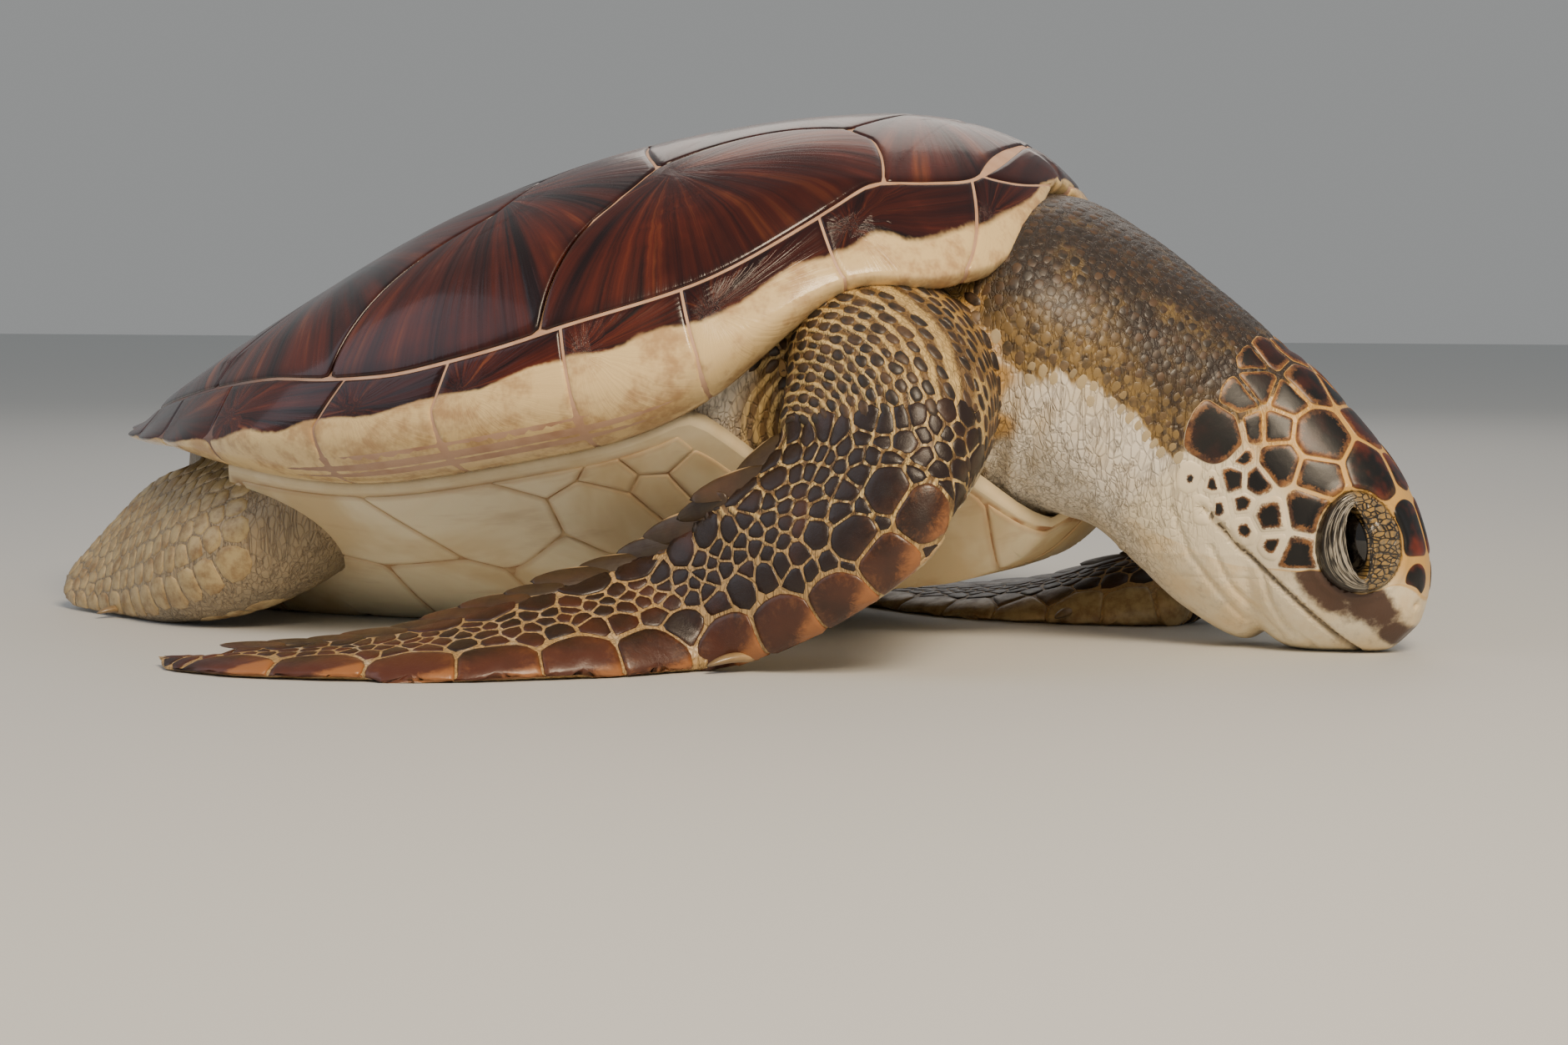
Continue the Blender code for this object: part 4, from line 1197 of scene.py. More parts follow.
def pathDistance(p, path):
    # distance in a plane from points to a line through the corners
    best = np.full(len(p), 9.0)
    for a, b in zip(np.array(path)[:-1], np.array(path)[1:]):
        u = np.clip(((p - a) @ (b - a)) / ((b - a) @ (b - a)), 0, 1)
        best = np.minimum(best, np.linalg.norm(p - a - u[:, None] * (b - a), axis=1))
    return best


def formPoints(names):
    # points spread over some of the soft forms
    turn, step = np.meshgrid(np.linspace(0, 2 * np.pi, 18, endpoint=False), np.linspace(0, 1, 26))
    found = []
    for name in names:
        if name == "neck":
            found.append(ovalPoint(neckRows, step * (len(neckRows) - 1), turn))
        elif name == "head":
            found.append(headPoint(step * 0.155 - 0.022, turn))
        else:
            found.append(limbPoint(name, step * (len(limbRows[name]) - 1), turn))
    return np.concatenate([f.reshape(-1, 3) for f in found])


def nearest(points, others):
    # distance from every point to the nearest of the others
    best = []
    for part in np.array_split(points, max(1, len(points) // 8000)):
        gap = (part ** 2).sum(1)[:, None] + (others ** 2).sum(1)[None] - 2 * part @ others.T
        best.append(np.sqrt(np.maximum(gap.min(1), 0)))
    return np.concatenate(best)


bodyForms, limbForms = formPoints(["neck", "head"]), formPoints([n for n in limbRows if "hind" not in n])


def skinFields(points):
    # shares from zero to one for the colours: the head, the dark neck and its warm border, the arms, their
    # ochre and the rear; fold is the distance to the crook of the right arm or to the left elbow
    x, y, z = points.T
    head = toHead(points)
    start = 0.002 + 0.006 * smooth(0.312, 0.338, head[:, 2])   # the neck's dark skin reaches further on top
    inHead = smooth(start, start + 0.008, head[:, 0]) * smooth(0.325, 0.345, x + 0.35 * z)
    border = hermite(paleRows, x) + 0.10 * np.maximum(np.abs(y) - 0.085, 0)
    dark = smooth(-0.012, 0.020, z - border) * smooth(0.155, 0.20, x)
    warm = smooth(0.050, 0.014, z - border)
    dark = np.where(z < 0.03, 0, dark) * (1 - inHead)
    right = np.hypot(x - crook[0], z - crook[2])
    left = np.linalg.norm(points - elbowLeft, axis=1)
    fold = np.where(y < 0, right, left)
    arm = smooth(-0.008, 0.006, nearest(points, bodyForms) - nearest(points, limbForms)) * (x > -0.1)
    arm = arm * smooth(0.016, 0.008, nearest(points, limbForms)) * (1 - inHead)
    ochre = arm * np.where(y < 0, smooth(0.050, 0.080, z), smooth(0.030, 0.055, z))
    web = smooth(0.052, 0.038, fold) * smooth(-0.09, -0.11, y) * smooth(0.065, 0.080, z)   # behind the arm
    ochre = np.maximum(ochre, web)
    hind = 1 - smooth(-0.07, -0.03, x)
    return dict(head=head, inHead=inHead, dark=dark * (1 - arm), fold=fold, warm=warm, ochre=ochre,
                hind=hind * (1 - arm), limb=arm)


jawRows = (  # upper edge of the horny upper jaw: along, height
    (-0.030, 0.262), (0.050, 0.283), (0.066, 0.2935), (0.072, 0.2995), (0.0803, 0.3070), (0.0896, 0.3166),
    (0.098, 0.3180), (0.1059, 0.3191), (0.1121, 0.3265), (0.1161, 0.3340), (0.1223, 0.3360),
    (0.1281, 0.3343), (0.136, 0.330),
)


def jawEdge(head):
    # above zero where the head carries scales, below it on the horny jaw and the chin
    return head[..., 2] - hermite(jawRows, head[..., 0])


# an eye's place and size: its opening's middle, half sizes, and the slit between the lids
eyeSpec = dict(along=0.0895, side=0.0300, height=0.33625, across=0.0198, upright=0.0232, egg=0.10,
               slitHalf=0.0044, slitUp=0.0166, slitShift=-0.0034, ballUp=0.0175, lid=0.0022)


def eyeAxes(side):
    # forward, up and outward directions at an eye
    out = unit(np.array([0.536, side * 0.818, 0.059]))
    upright = np.array([-0.146, side * 0.024, 0.9885])
    upright = unit(upright - out * (out @ upright))
    forward = np.cross(upright, out) * -side
    return forward, upright, out


def eyeCentre(side):
    return headToBody(eyeSpec["along"], side * eyeSpec["side"], eyeSpec["height"])


def eyeShare(points):
    # one on the outline of an eye's opening, zero in its middle
    best = np.full(points.shape[:-1], 9.0)
    for side in (1, -1):
        forward, upright, out = eyeAxes(side)
        d = points - eyeCentre(side)
        up = d @ upright / eyeSpec["upright"]
        wide = d @ forward / (eyeSpec["across"] * (1 - eyeSpec["egg"] * up))
        best = np.minimum(best, np.where(np.abs(d @ out) < 0.022, np.sqrt(wide ** 2 + up ** 2), 9.0))
    return best


# lines in the skin as width and depth, the width of the painted shade along the mouth, and the sizes of the
# eye's socket and of the throat's drape
grooveSpec = dict(mouth=(0.0013, 0.0026), fold=(0.0016, 0.0013), nostril=(0.0018, 0.0022), mouthLineShade=0.0014,
                  socketStep=0.0008, socketDepth=0.0055, socketEdge=1.02, lidRing=0.0009,
                  drape=0.0016, drapeGap=0.016)


def shapeSkin(mesh):
    # every point moved along its normal: folds and the ring round an eye out, lines and sockets in
    spec = grooveSpec
    points, out = places(mesh), normals(mesh)   # still in the body frame
    x, z = points[:, 0], points[:, 2]
    f = skinFields(points)
    along, side, height = f["head"].T
    flat = f["head"][:, [0, 2]]
    mouth = pathDistance(flat, mouthPath)
    groove = bell(mouth, spec["mouth"][0]) * spec["mouth"][1]
    for path in jawFolds:
        groove += bell(pathDistance(flat, path), spec["fold"][0]) * spec["fold"][1]
    groove *= f["inHead"]
    nostril = np.linalg.norm(np.stack([along, np.abs(side), height], -1) - nostrilPlace, axis=1)
    groove += bell(nostril, spec["nostril"][0]) * spec["nostril"][1]
    socket = eyeShare(points)
    deep = np.clip(spec["socketEdge"] - socket, 0, 1)
    groove += np.where(deep > 0, spec["socketDepth"] * np.sqrt(deep) + spec["socketStep"], 0.0)
    ring = bell(socket - 1.15, 0.09) * spec["lidRing"]
    drape = spec["drape"] * np.sin((x - 0.4 * z) / spec["drapeGap"] * 2 * np.pi)
    drape *= smooth(0.235, 0.26, x) * (1 - smooth(0.30, 0.33, x))
    drape *= (1 - smooth(0.10, 0.15, z)) * smooth(0.03, 0.05, z)
    drape *= (1 - smooth(-0.050, -0.030, along)) * (1 - f["limb"])
    points += out * (drape + ring - groove)[:, None]
    points[:, 2] = np.maximum(points[:, 2], 0.0)
    setPlaces(mesh, points + toRow)
    # painted shade along the mouth's groove, kept as a mask for the colours
    mouthLineShade = bell(mouth, spec["mouthLineShade"]) * f["inHead"]
    fields = {key: f[key] for key in ("inHead", "dark", "warm", "fold", "ochre", "hind", "limb")}
    for key, values in dict(fields, mouthLineShade=mouthLineShade, socket=np.clip(socket, 0, 2)).items():
        mesh.attributes.new(key, "FLOAT", "POINT").data.foreach_set("value", values.astype(np.float32))
    return mesh


skinMesh = shapeSkin(unionSkin(skinSpec))
skinMesh.name = "skin"
print("skin shaped")


# ---- skin: its colours

skinLook = dict(headTop=colour(214, 168, 92), headSide=colour(241, 228, 198), jaw=colour(232, 207, 164),
                smear=colour(64, 32, 20), throat=colour(242, 233, 216), neckDark=colour(52, 45, 40),
                neckWarm=colour(150, 121, 68), shoulder=colour(180, 140, 76), seam=colour(188, 160, 118),
                hind=colour(130, 123, 106), creaseShade=colour(70, 48, 30), under=colour(228, 212, 182),
                ridge=colour(222, 192, 128), furrowShade=colour(84, 62, 40))


def headPlaceGroup():
    # the head's own frame as a node group: along, side and height in thousandths of a metre
    tree = bpy.data.node_groups.new("headPlace", "ShaderNodeTree")
    for key in ("Along", "Side", "Height"):
        tree.interface.new_socket(name=key, in_out="OUTPUT", socket_type="NodeSocketFloat")
    nodes = Nodes(tree)
    x, y, z = nodes.split(nodes.out(nodes.new("ShaderNodeTexCoord"), "Object"))
    c, s = headTurn()
    x, y = x - float(toRow[0]), y - float(toRow[1])
    along = x * c - z * s
    along = (along - headSpec["start"]) * 1000.0
    height = x * s + z * c
    result = nodes.new("NodeGroupOutput")
    for socket, value in zip(result.inputs, (along, y * 1000.0, height * 1000.0)):
        nodes.put(socket, value)
    return tree


headPlaceTree = headPlaceGroup()


def blob(nodes, along, height, middle, reach):
    # soft round mask in the side view of the head, one in the middle, zero at the reach
    da = (along - middle[0]) / reach[0]
    dh = (height - middle[1]) / reach[1]
    far = da * da + dh * dh
    return nodes.spread(far, 1.0, 0.0)


def skinMaterial(look):
    nodes, finish = newMaterial("turtleSkin")
    frame = nodes.new("ShaderNodeGroup", node_tree=headPlaceTree)
    along, side, height = [nodes.out(frame, k) for k in range(3)]
    grain = nodes.grain(160, 5.0, 0.6)
    mottle = nodes.grain(38, 4.0, 0.6)
    wide = nodes.grain(9, 3.0, 0.5)
    # neck and throat
    throat = nodes.mix(nodes.spread(mottle, 0.38, 0.72), look["throat"], look["under"])
    dark = nodes.mix(nodes.spread(mottle, 0.50, 0.80), look["neckDark"], look["neckWarm"])
    dark = nodes.mix(nodes.field("warm") * nodes.spread(grain, 0.36, 0.60, 0.1, 0.9), dark, look["neckWarm"])
    streak = nodes.grain((90, 90, 18), 4.0, 0.65)
    edge = nodes.field("dark") + (streak - 0.5) * 1.5
    body = nodes.mix(nodes.spread(edge, 0.36, 0.60), throat,
                     nodes.mix(nodes.spread(edge, 0.50, 0.72), look["neckWarm"], dark))
    body = nodes.mix(nodes.field("limb"), body, nodes.mix(mottle, look["seam"], look["shoulder"]))
    # arcs about the crook of the right arm: pale ridges, with painted shade in the furrows between them
    drift = (mottle - 0.5) * 0.0042
    turn = nodes.field("fold") + drift - crookFirst
    turn = turn * (2 * math.pi / crookGap)
    arcs = 0.5 + nodes.math("COSINE", turn) * -0.5
    ochre = nodes.field("ochre")
    outer = nodes.spread(side, -100.0, -140.0) * nodes.spread(nodes.field("fold"), 0.100, 0.085)
    onArm = ochre * outer
    body = nodes.mix(nodes.field("ochre") * nodes.spread(mottle, 0.2, 0.6, 0.6, 1.0), body, look["shoulder"])
    body = nodes.mix(onArm * nodes.spread(streak, 0.3, 0.7, 0.55, 0.95), body,
                     nodes.mix(nodes.spread(arcs, 0.25, 0.85), look["furrowShade"], look["ridge"]))
    # behind the middle the skin turns greyer and darker: partly its own colour, partly painted shade
    body = nodes.mix(nodes.field("hind"), body, nodes.mix(mottle, look["hind"], look["seam"]))
    # head between the scales, the horny jaws and the smear of brown under the eye
    head = nodes.mix(nodes.spread(height, 322.0, 345.0), look["headSide"], look["headTop"])
    horn = nodes.mix(nodes.spread(mottle + grain * 0.3, 0.45, 0.85),
                     look["jaw"], look["headSide"])
    flow = nodes.grain(120, 4.0, 0.65)
    wobble = (flow - 0.5) * 1.5
    smear = nodes.math("MAXIMUM", blob(nodes, along, height, (95, 312), (25, 13)),
                       nodes.math("MAXIMUM", blob(nodes, along, height, (113, 318), (21, 13)),
                                  blob(nodes, along, height, (132, 315), (10, 9))))
    smear = nodes.spread(smear + wobble, 0.0, 0.8) * 0.96
    horn = nodes.mix(smear, horn, look["smear"])
    rim = nodes.new("ShaderNodeFloatCurve")
    curve = rim.mapping.curves[0]
    low, high = -30.0, 136.0
    rows = [((a * 1000 - low) / (high - low), (b * 1000 - 250) / 100) for a, b in jawRows]
    curve.points[0].location, curve.points[1].location = rows[0], rows[-1]
    for row in rows[1:-1]:
        curve.points.new(*row)
    rim.mapping.update()
    nodes.put(rim.inputs["Value"], (along - low) / (high - low))
    above = height - (nodes.out(rim) * 100.0 + 250.0)
    head = nodes.mix(nodes.spread(above, -0.3, 0.3), horn, head)
    thin = nodes.spread(nodes.math("ABSOLUTE", above), 0.9, 0.2) * nodes.spread(along, 66.0, 76.0, 0.0, 0.65)
    head = nodes.mix(thin, head, look["headTop"])
    # painted shade: the mouth's groove darkened with the crease colour
    head = nodes.mix(nodes.field("mouthLineShade") * 0.85, head, look["creaseShade"])
    # painted shade: a near-black line on the skin round the eye's opening, in the socket's groove
    line = nodes.spread(nodes.field("socket"), 1.08, 1.0) * 0.9
    head = nodes.mix(line, head, colour(30, 20, 14))
    base = nodes.mix(nodes.field("inHead"), body, head)
    cracks = nodes.spread(nodes.cells(nodes.place((1, 1, 0.45)), 330.0), 0.0, 0.14)
    wrinkle = nodes.grain((170, 170, 14), 3.0, 0.6, 0.6)
    wrinkle = nodes.spread(nodes.math("ABSOLUTE", wrinkle - 0.5), 0.0, 0.045)
    strength = 1.0 - nodes.field("inHead") * nodes.spread(along, 12.0, 50.0, 0.30, 0.94)
    lined = strength * (1.0 - nodes.field("limb") * 0.7)
    # painted shade: the cracks between the skin's small cells and its fine wrinkles are darkened where the
    # bump sinks them
    base = nodes.mix((1.0 - cracks) * (strength * 0.22), base, look["creaseShade"])
    base = nodes.mix((1.0 - wrinkle) * (lined * 0.42), base, look["creaseShade"])
    relief = nodes.bump((cracks + wrinkle) * strength, 0.0006, 0.7)
    relief = nodes.bump(arcs * onArm, 0.0012, 0.8, relief)
    relief = nodes.bump(grain, 0.0004, 0.35, relief)
    return finish(Base_Color=base, Roughness=nodes.spread(wide, 0.3, 0.7, 0.38, 0.52), Normal=relief,
                  Coat_Weight=0.18, Coat_Roughness=0.25)


skinPiece = addPiece(skinMesh, skinMaterial(skinLook),
                     ("trunk", "neck", "head", "lower_jaw", "upper_arm_left", "upper_arm_right",
                      "flipper_front_left", "flipper_front_right", "flipper_hind_left",
                      "flipper_hind_right", "tail"))
print("skin", len(skinMesh.polygons), "faces")


def wrapOn(points, target):
    # the nearest places on a surface, by a modifier on a throw-away mesh of loose points
    mesh = bpy.data.meshes.new("wrap")
    mesh.vertices.add(len(points))
    mesh.vertices.foreach_set("co", points.astype(np.float32).ravel())
    mesh.update()
    piece = linked("wrap", mesh)
    wrap = piece.modifiers.new("wrap", "SHRINKWRAP")
    wrap.target = target
    wrap.wrap_method = "NEAREST_SURFACEPOINT"
    found = places(evaluated(piece))
    bpy.data.objects.remove(piece)
    return found


# ---- eyes: the eyeball and the wrinkled lids that leave an upright slit

def ballHeight(forward, up):
    # the eyeball's front over its middle, zero outside it
    r = headSpec["eyeRadius"]
    return r * np.sqrt(np.clip(1 - (forward / r) ** 2 - (up / eyeSpec["ballUp"]) ** 2, 0, 1))


def eyeball(side, name):
    axes = np.array(eyeAxes(side))
    turn = np.linspace(0, 2 * np.pi, 48, endpoint=False)
    tilt = np.linspace(0.06, np.pi - 0.06, 36)
    r = headSpec["eyeRadius"]
    rings = [np.stack([r * math.sin(q) * np.cos(turn), eyeSpec["ballUp"] * math.sin(q) * np.sin(turn),
                       r * math.cos(q) + 0 * turn], -1) @ axes for q in tilt]
    verts, quads, fans = tube(rings)
    middle = headToBody(headSpec["eyeAlong"], side * headSpec["eyeSide"], headSpec["eyeHeight"])
    verts[-2:] = axes[2] * r, -axes[2] * r
    return faceOut(meshFrom(name, verts + middle, [quads, fans]))


def lids(side, name, target):
    # a closed ring from the slit's margin out to the rim of the opening, domed over the eyeball
    forward, upright, out = eyeAxes(side)
    middle = eyeCentre(side)
    ball = headToBody(headSpec["eyeAlong"], side * headSpec["eyeSide"], headSpec["eyeHeight"]) - middle
    bf, bu, bo = ball @ forward, ball @ upright, ball @ out
    turn = np.linspace(0, 2 * np.pi, 240, endpoint=False)
    c, s = np.cos(turn), np.sin(turn)
    slit = np.stack([eyeSpec["slitHalf"] * signedPower(c, 1.5) + eyeSpec["slitShift"],
                     eyeSpec["slitUp"] * s], -1)
    rim = np.stack([eyeSpec["across"] * (1 - eyeSpec["egg"] * s) * c, eyeSpec["upright"] * s], -1) * 1.035
    edge = middle + rim[:, :1] * forward + rim[:, 1:] * upright
    edge = wrapOn(edge + out * 0.004 + toRow, target) - toRow - middle
    rimUp = edge @ out
    share = np.linspace(0, 1, 64)[:, None]
    plan = slit[None] + (rim - slit)[None] * share[..., None]
    over = bo + ballHeight(plan[..., 0] - bf, plan[..., 1] - bu)
    peak = over[0].max() + 0.0011
    rise = rimUp - 0.0004 + (peak - rimUp) * (1 - share ** 2.1) ** 0.62
    clear, start = over + 0.0009, smooth(0.0, 0.10, share)
    bed = np.where(ballHeight(plan[..., 0] - bf, plan[..., 1] - bu) > 0.002, clear, -1)
    rise = np.maximum(rise * start + clear * (1 - start), bed)
    front = (c > 0) * smooth(0.0, 0.25, np.abs(c))
    rear = (c < 0) * smooth(0.0, 0.25, np.abs(c))
    ends = smooth(0.0, 0.14, 1 - share)
    wave = share * 2 * np.pi
    behind = np.sin(wave * 3.6 + 0.9 + 0.25 * np.sin(3 * turn)) * 0.00055 * rear * (1 - share * 0.25)
    ahead = np.sin(wave * 2.6 + 0.6 + 0.5 * np.sin(2 * turn)) * 0.00035 * front * (1 - 0.8 * share)
    rise = rise + (behind + ahead) * smooth(0.02, 0.12, share) * ends
    under = rise - eyeSpec["lid"]
    top = np.concatenate([plan, plan[-1:], plan[::-9], (slit * 0.985)[None]])
    height = np.concatenate([rise, under[-1:], under[::-9] - 0.0004 * share[::-9], (rise[0] - 0.0013)[None]])
    verts = middle + top[..., :1] * forward + top[..., 1:] * upright + height[..., None] * out
    rows, n = verts.shape[:2]
    k = np.arange(n)
    after, last = (k + 1) % n, (rows - 1) * n
    quads = np.concatenate([gridFaces(rows, n, wrap=True), np.stack([last + k, last + after, after, k], -1)])
    spread = np.concatenate([share[:, 0], [1.0], share[::-9, 0], [0.0]])
    fields = dict(share=np.repeat(spread, n), rear=np.tile((1 - c) / 2, rows),
                  ray=np.stack([np.tile(c, rows), np.tile(s, rows), np.repeat(spread, n)], -1),
                  plan=np.concatenate([top.reshape(-1, 2) * 1000, np.zeros((rows * n, 1))], 1))
    return faceOut(meshFrom(name, verts.reshape(-1, 3), [quads], fields))


def eyeMaterial():
    nodes, finish = newMaterial("eyeball")
    wide = nodes.grain(70, 3.0)
    tone = nodes.mix(nodes.spread(wide, 0.35, 0.75), colour(8, 7, 7), colour(30, 22, 16))
    return finish(Base_Color=tone, Roughness=0.04, IOR=1.45, Coat_Weight=1.0, Coat_Roughness=0.02)


lidLook = dict(pale=colour(176, 168, 152), ochre=colour(168, 134, 74), grey=colour(112, 102, 84),
               dark=colour(24, 19, 15))


def lidMaterial(look):
    nodes, finish = newMaterial("eyelids")
    plan, ray = nodes.field("plan", "Vector"), nodes.field("ray", "Vector")
    share, rear = nodes.fields("share", "rear")
    fine = nodes.grain(420, 4.0, 0.6)
    net = nodes.spread(nodes.cells(nodes.stretched(plan, (0.20, 0.36, 1.0)), 1.25), 0.02, 0.16)
    # folds beside the slit: wavy lines that keep to its outline
    lines = nodes.noise(nodes.stretched(ray, (0.8, 0.8, 9.0)), 1.6, 3.0, 0.6, 0.4)
    dark = nodes.spread(lines, 0.56, 0.44)
    pale = nodes.mix(dark, look["pale"], look["dark"])
    side = nodes.mix(nodes.spread(fine, 0.4, 0.7), look["ochre"], look["grey"])
    side = nodes.mix(net, look["dark"], side)
    side = nodes.mix(nodes.spread(share, 0.42, 0.1) * nodes.spread(lines, 0.56, 0.44), side, look["dark"])
    tone = nodes.mix(nodes.spread(rear, 0.42, 0.58), side, pale)
    # painted shade: dark along the rear of the lids' outer rim, then all round the rim where the lids meet
    # the socket, then at the slit's edge
    back = nodes.spread(rear, 0.5, 0.85) * nodes.spread(share, 0.74, 0.84)
    tone = nodes.mix(back, tone, look["dark"])
    tone = nodes.mix(nodes.spread(share, 0.90, 0.98), tone, look["dark"])
    tone = nodes.mix(nodes.spread(share, 0.05, 0.0), tone, look["dark"])
    relief = nodes.bump(nodes.mix(nodes.spread(rear, 0.42, 0.58), net, nodes.spread(lines, 0.40, 0.55)),
                        0.0006, 0.8)
    return finish(Base_Color=tone, Roughness=0.28, Normal=relief, Coat_Weight=0.5, Coat_Roughness=0.12)


eyePaint, lidPaint = eyeMaterial(), lidMaterial(lidLook)
for side, key in ((1, "left"), (-1, "right")):
    addPiece(eyeball(side, "eye_" + key), eyePaint, ("eye_" + key,))
    addPiece(lids(side, "eyelids_" + key, skinPiece), lidPaint)
print("eyes and lids")


# ---- scales: cells about their seeds, wrapped on the skin

def spacedTints(count):
    # shades from zero to one, each far from the one before
    return (np.arange(count) * 0.6180339887) % 1.0


def cellPatches(pick, seeds, out, sizes, spec, lie=None):
    # star-shaped cells: in each direction the nearest line between a seed and its neighbours, where the
    # larger seed takes more room, joined softly with an oval limit
    helper = np.where(np.abs(out[pick, 2:3]) < 0.9, np.array([[0.0, 0.0, 1.0]]), np.array([[1.0, 0.0, 0.0]]))
    if lie is not None:
        helper = lie[pick]
    second = unit(np.cross(out[pick], helper))
    first = np.cross(second, out[pick])
    turn = np.linspace(0, 2 * np.pi, spec["directions"], endpoint=False)
    radius = []
    for part in np.array_split(np.arange(len(pick)), max(1, len(pick) // 120)):
        here = pick[part]
        gap = seeds[None] - seeds[here, None]
        far = np.linalg.norm(gap, axis=-1)
        level = np.stack([np.einsum("ijk,ik->ij", gap, way[part]) for way in (first, second)], -1)
        level = unit(level)
        usable = (far > 1e-6) & (far < spec["reach"]) & (out[here] @ out.T > spec.get("facing", -0.1))
        half = (far ** 2 + (sizes[here] ** 2)[:, None] - (sizes ** 2)[None]) / (2 * np.maximum(far, 1e-6))
        half = np.clip(half, 0.12 * far, 0.88 * far) - spec["seam"]
        cosine = level[..., 0:1] * np.cos(turn) + level[..., 1:2] * np.sin(turn)
        bound = np.where(usable[..., None] & (cosine > 0.04),
                         np.maximum(half, 0.0004)[..., None] / np.maximum(cosine, 0.04), 1.0)
        longest = (sizes[here] * spec["spread"])[:, None]
        limit = longest / np.sqrt(np.cos(turn) ** 2 + (np.sin(turn) / spec.get("slim", 1.0)) ** 2)
        power = spec.get("power", 14)
        radius.append(((1 / bound ** power).sum(1) + 1 / limit ** power) ** (-1 / power))
    radius = np.concatenate(radius)
    direction = first[:, None] * np.cos(turn)[:, None] + second[:, None] * np.sin(turn)[:, None]
    if "inside" in spec:   # stop a cell at the first step that leaves the ground it may cover
        step = np.linspace(0, 1, spec["trials"] + 1)[1:]
        trial = seeds[pick, None, None] + direction[:, :, None] * (radius[..., None] * step)[..., None]
        bad = spec["inside"](trial) < 0
        radius = radius * np.where(bad.any(-1), step[np.maximum(bad.argmax(-1) - 1, 0)], 1.0)
        radius = (np.roll(radius, 1, 1) + 2 * radius + np.roll(radius, -1, 1)) / 4
    return radius, direction, turn


def scales(name, seeds, out, sizes, spec, target, fields, pick=None, lie=None):
    # one closed, crowned plate for every picked seed, lying on the target
    pick = np.arange(len(seeds)) if pick is None else np.nonzero(pick)[0]
    radius, direction, turn = cellPatches(pick, seeds, out, sizes, spec, lie)
    seeds, out, sizes = seeds[pick], out[pick], sizes[pick]
    shares = np.array(spec["rings"])
    n, k, m = len(seeds), len(turn), len(shares)
    flat = seeds[:, None, None] + direction[:, None] * (radius[:, None] * shares[None, :, None])[..., None]
    loose = np.concatenate([flat.reshape(-1, 3), seeds])
    both = wrapOn(loose + toRow, target) - toRow
    on, middle = both[:n * k * m].reshape(n, m, k, 3).copy(), both[n * k * m:]
    moved = np.linalg.norm(both - loose, axis=1)[:n * k * m].reshape(n, m, k)
    stray = moved > (0.003 + 0.9 * sizes)[:, None, None]
    for ring in range(m):   # a point that would jump onto another part stays with the ring inside it
        inner = on[:, ring - 1] if ring else middle[:, None] + 0 * on[:, 0]
        reach = radius * (shares[ring] - (shares[ring - 1] if ring else 0.0))
        leap = np.linalg.norm(on[:, ring] - inner, axis=-1) > 0.0025 + 1.6 * reach
        on[:, ring] = np.where((stray[:, ring] | leap)[..., None], inner, on[:, ring])
    around = np.roll(on, -1, 2) - np.roll(on, 1, 2)
    outward = on - np.concatenate([middle[:, None, None] + 0 * on[:, :1], on[:, :-1]], 1)
    normal = unit(np.cross(outward, around))
    normal *= np.sign(np.einsum("nmkc,nc->nmk", normal, out))[..., None]
    mean = unit(normal[:, 0].mean(1))
    normal = unit(normal + mean[:, None, None] * 0.6)
    inside = radius[:, None] * (1 - shares[None, :, None])
    crown = spec["proud"] * (0.55 + 0.45 * np.clip(sizes / spec["bigSize"], 0.3, 1.2))[:, None, None]
    dome = spec.get("dome", 0.0) * sizes
    lift = plateLift(crown, inside, spec) + dome[:, None, None] * (1 - shares[:, None] ** 2)
    peak = middle + mean * (crown[:, 0, 0] + dome)[:, None]
    base = middle - mean * spec["sink"] * 2.2
    skirt = (on[:, -1:] - normal[:, -1:] * spec["sink"] * 2.0) * 0.8 + base[:, None, None] * 0.2
    rows = np.concatenate([on + normal * lift[..., None], skirt], 1)
    verts = onFloor(np.concatenate([peak[:, None], rows.reshape(n, -1, 3), base[:, None]], 1))
    size = verts.shape[1]
    step = np.arange(k)
    after = (step + 1) % k
    quads = gridFaces(m + 1, k, wrap=True) + 1
    tris = np.concatenate([fanFaces(0, 1 + step, 1 + after),
                           fanFaces(size - 1, 1 + m * k + after, 1 + m * k + step)])
    spread = np.concatenate([[0.0], np.repeat(shares, k), np.ones(k), [1.0]])
    ring = np.stack([np.cos(turn), np.sin(turn)], -1)
    circle = np.concatenate([[[0, 0]], np.tile(ring, (m + 1, 1)), [[0, 0]]])
    ray = np.concatenate([np.broadcast_to(circle, (n, size, 2)),
                          (np.arange(n)[:, None] * 2.37 + spread[None])[..., None]], -1)
    margin = np.concatenate([radius.mean(1)[:, None], inside.reshape(n, -1), np.zeros((n, k + 1))], 1)
    carried = dict(ray=ray.reshape(-1, 3), share=np.tile(spread, n), edge=margin.ravel() * 1000,
                   tint=np.repeat(spacedTints(n), size))
    for key, values in fields.items():
        if key != "slope":
            carried[key] = np.repeat(values[pick], size)
    if "slope" in fields:   # the share across the limb goes on changing over each plate
        carried["across"] += np.einsum("nvc,nc->nv", verts - seeds[:, None], fields["slope"][pick]).ravel()
    mesh = repeated(name, verts, quads, tris, carried)
    bakePatches(mesh, seeds, out, circle * spread[:, None])
    return faceOut(mesh)


def boxUnwrap(points, out):
    # the skin laid out by the way it faces: six charts of one scale, side by side
    way = np.argmax(np.abs(out), -1)
    side = np.take_along_axis(out, way[:, None], 1)[:, 0] < 0
    first = np.where(way == 0, points[:, 1] + 0.35, points[:, 0] + 0.33)
    second = np.where(way == 2, points[:, 1] + 0.34, points[:, 2] + 0.01)
    corner = np.array([(0.01, 0.01), (0.36, 0.01), (0.01, 0.36), (0.51, 0.36), (0.01, 0.52), (0.51, 0.52)])
    return corner[way * 2 + side] + 0.66 * np.stack([first, second], -1)


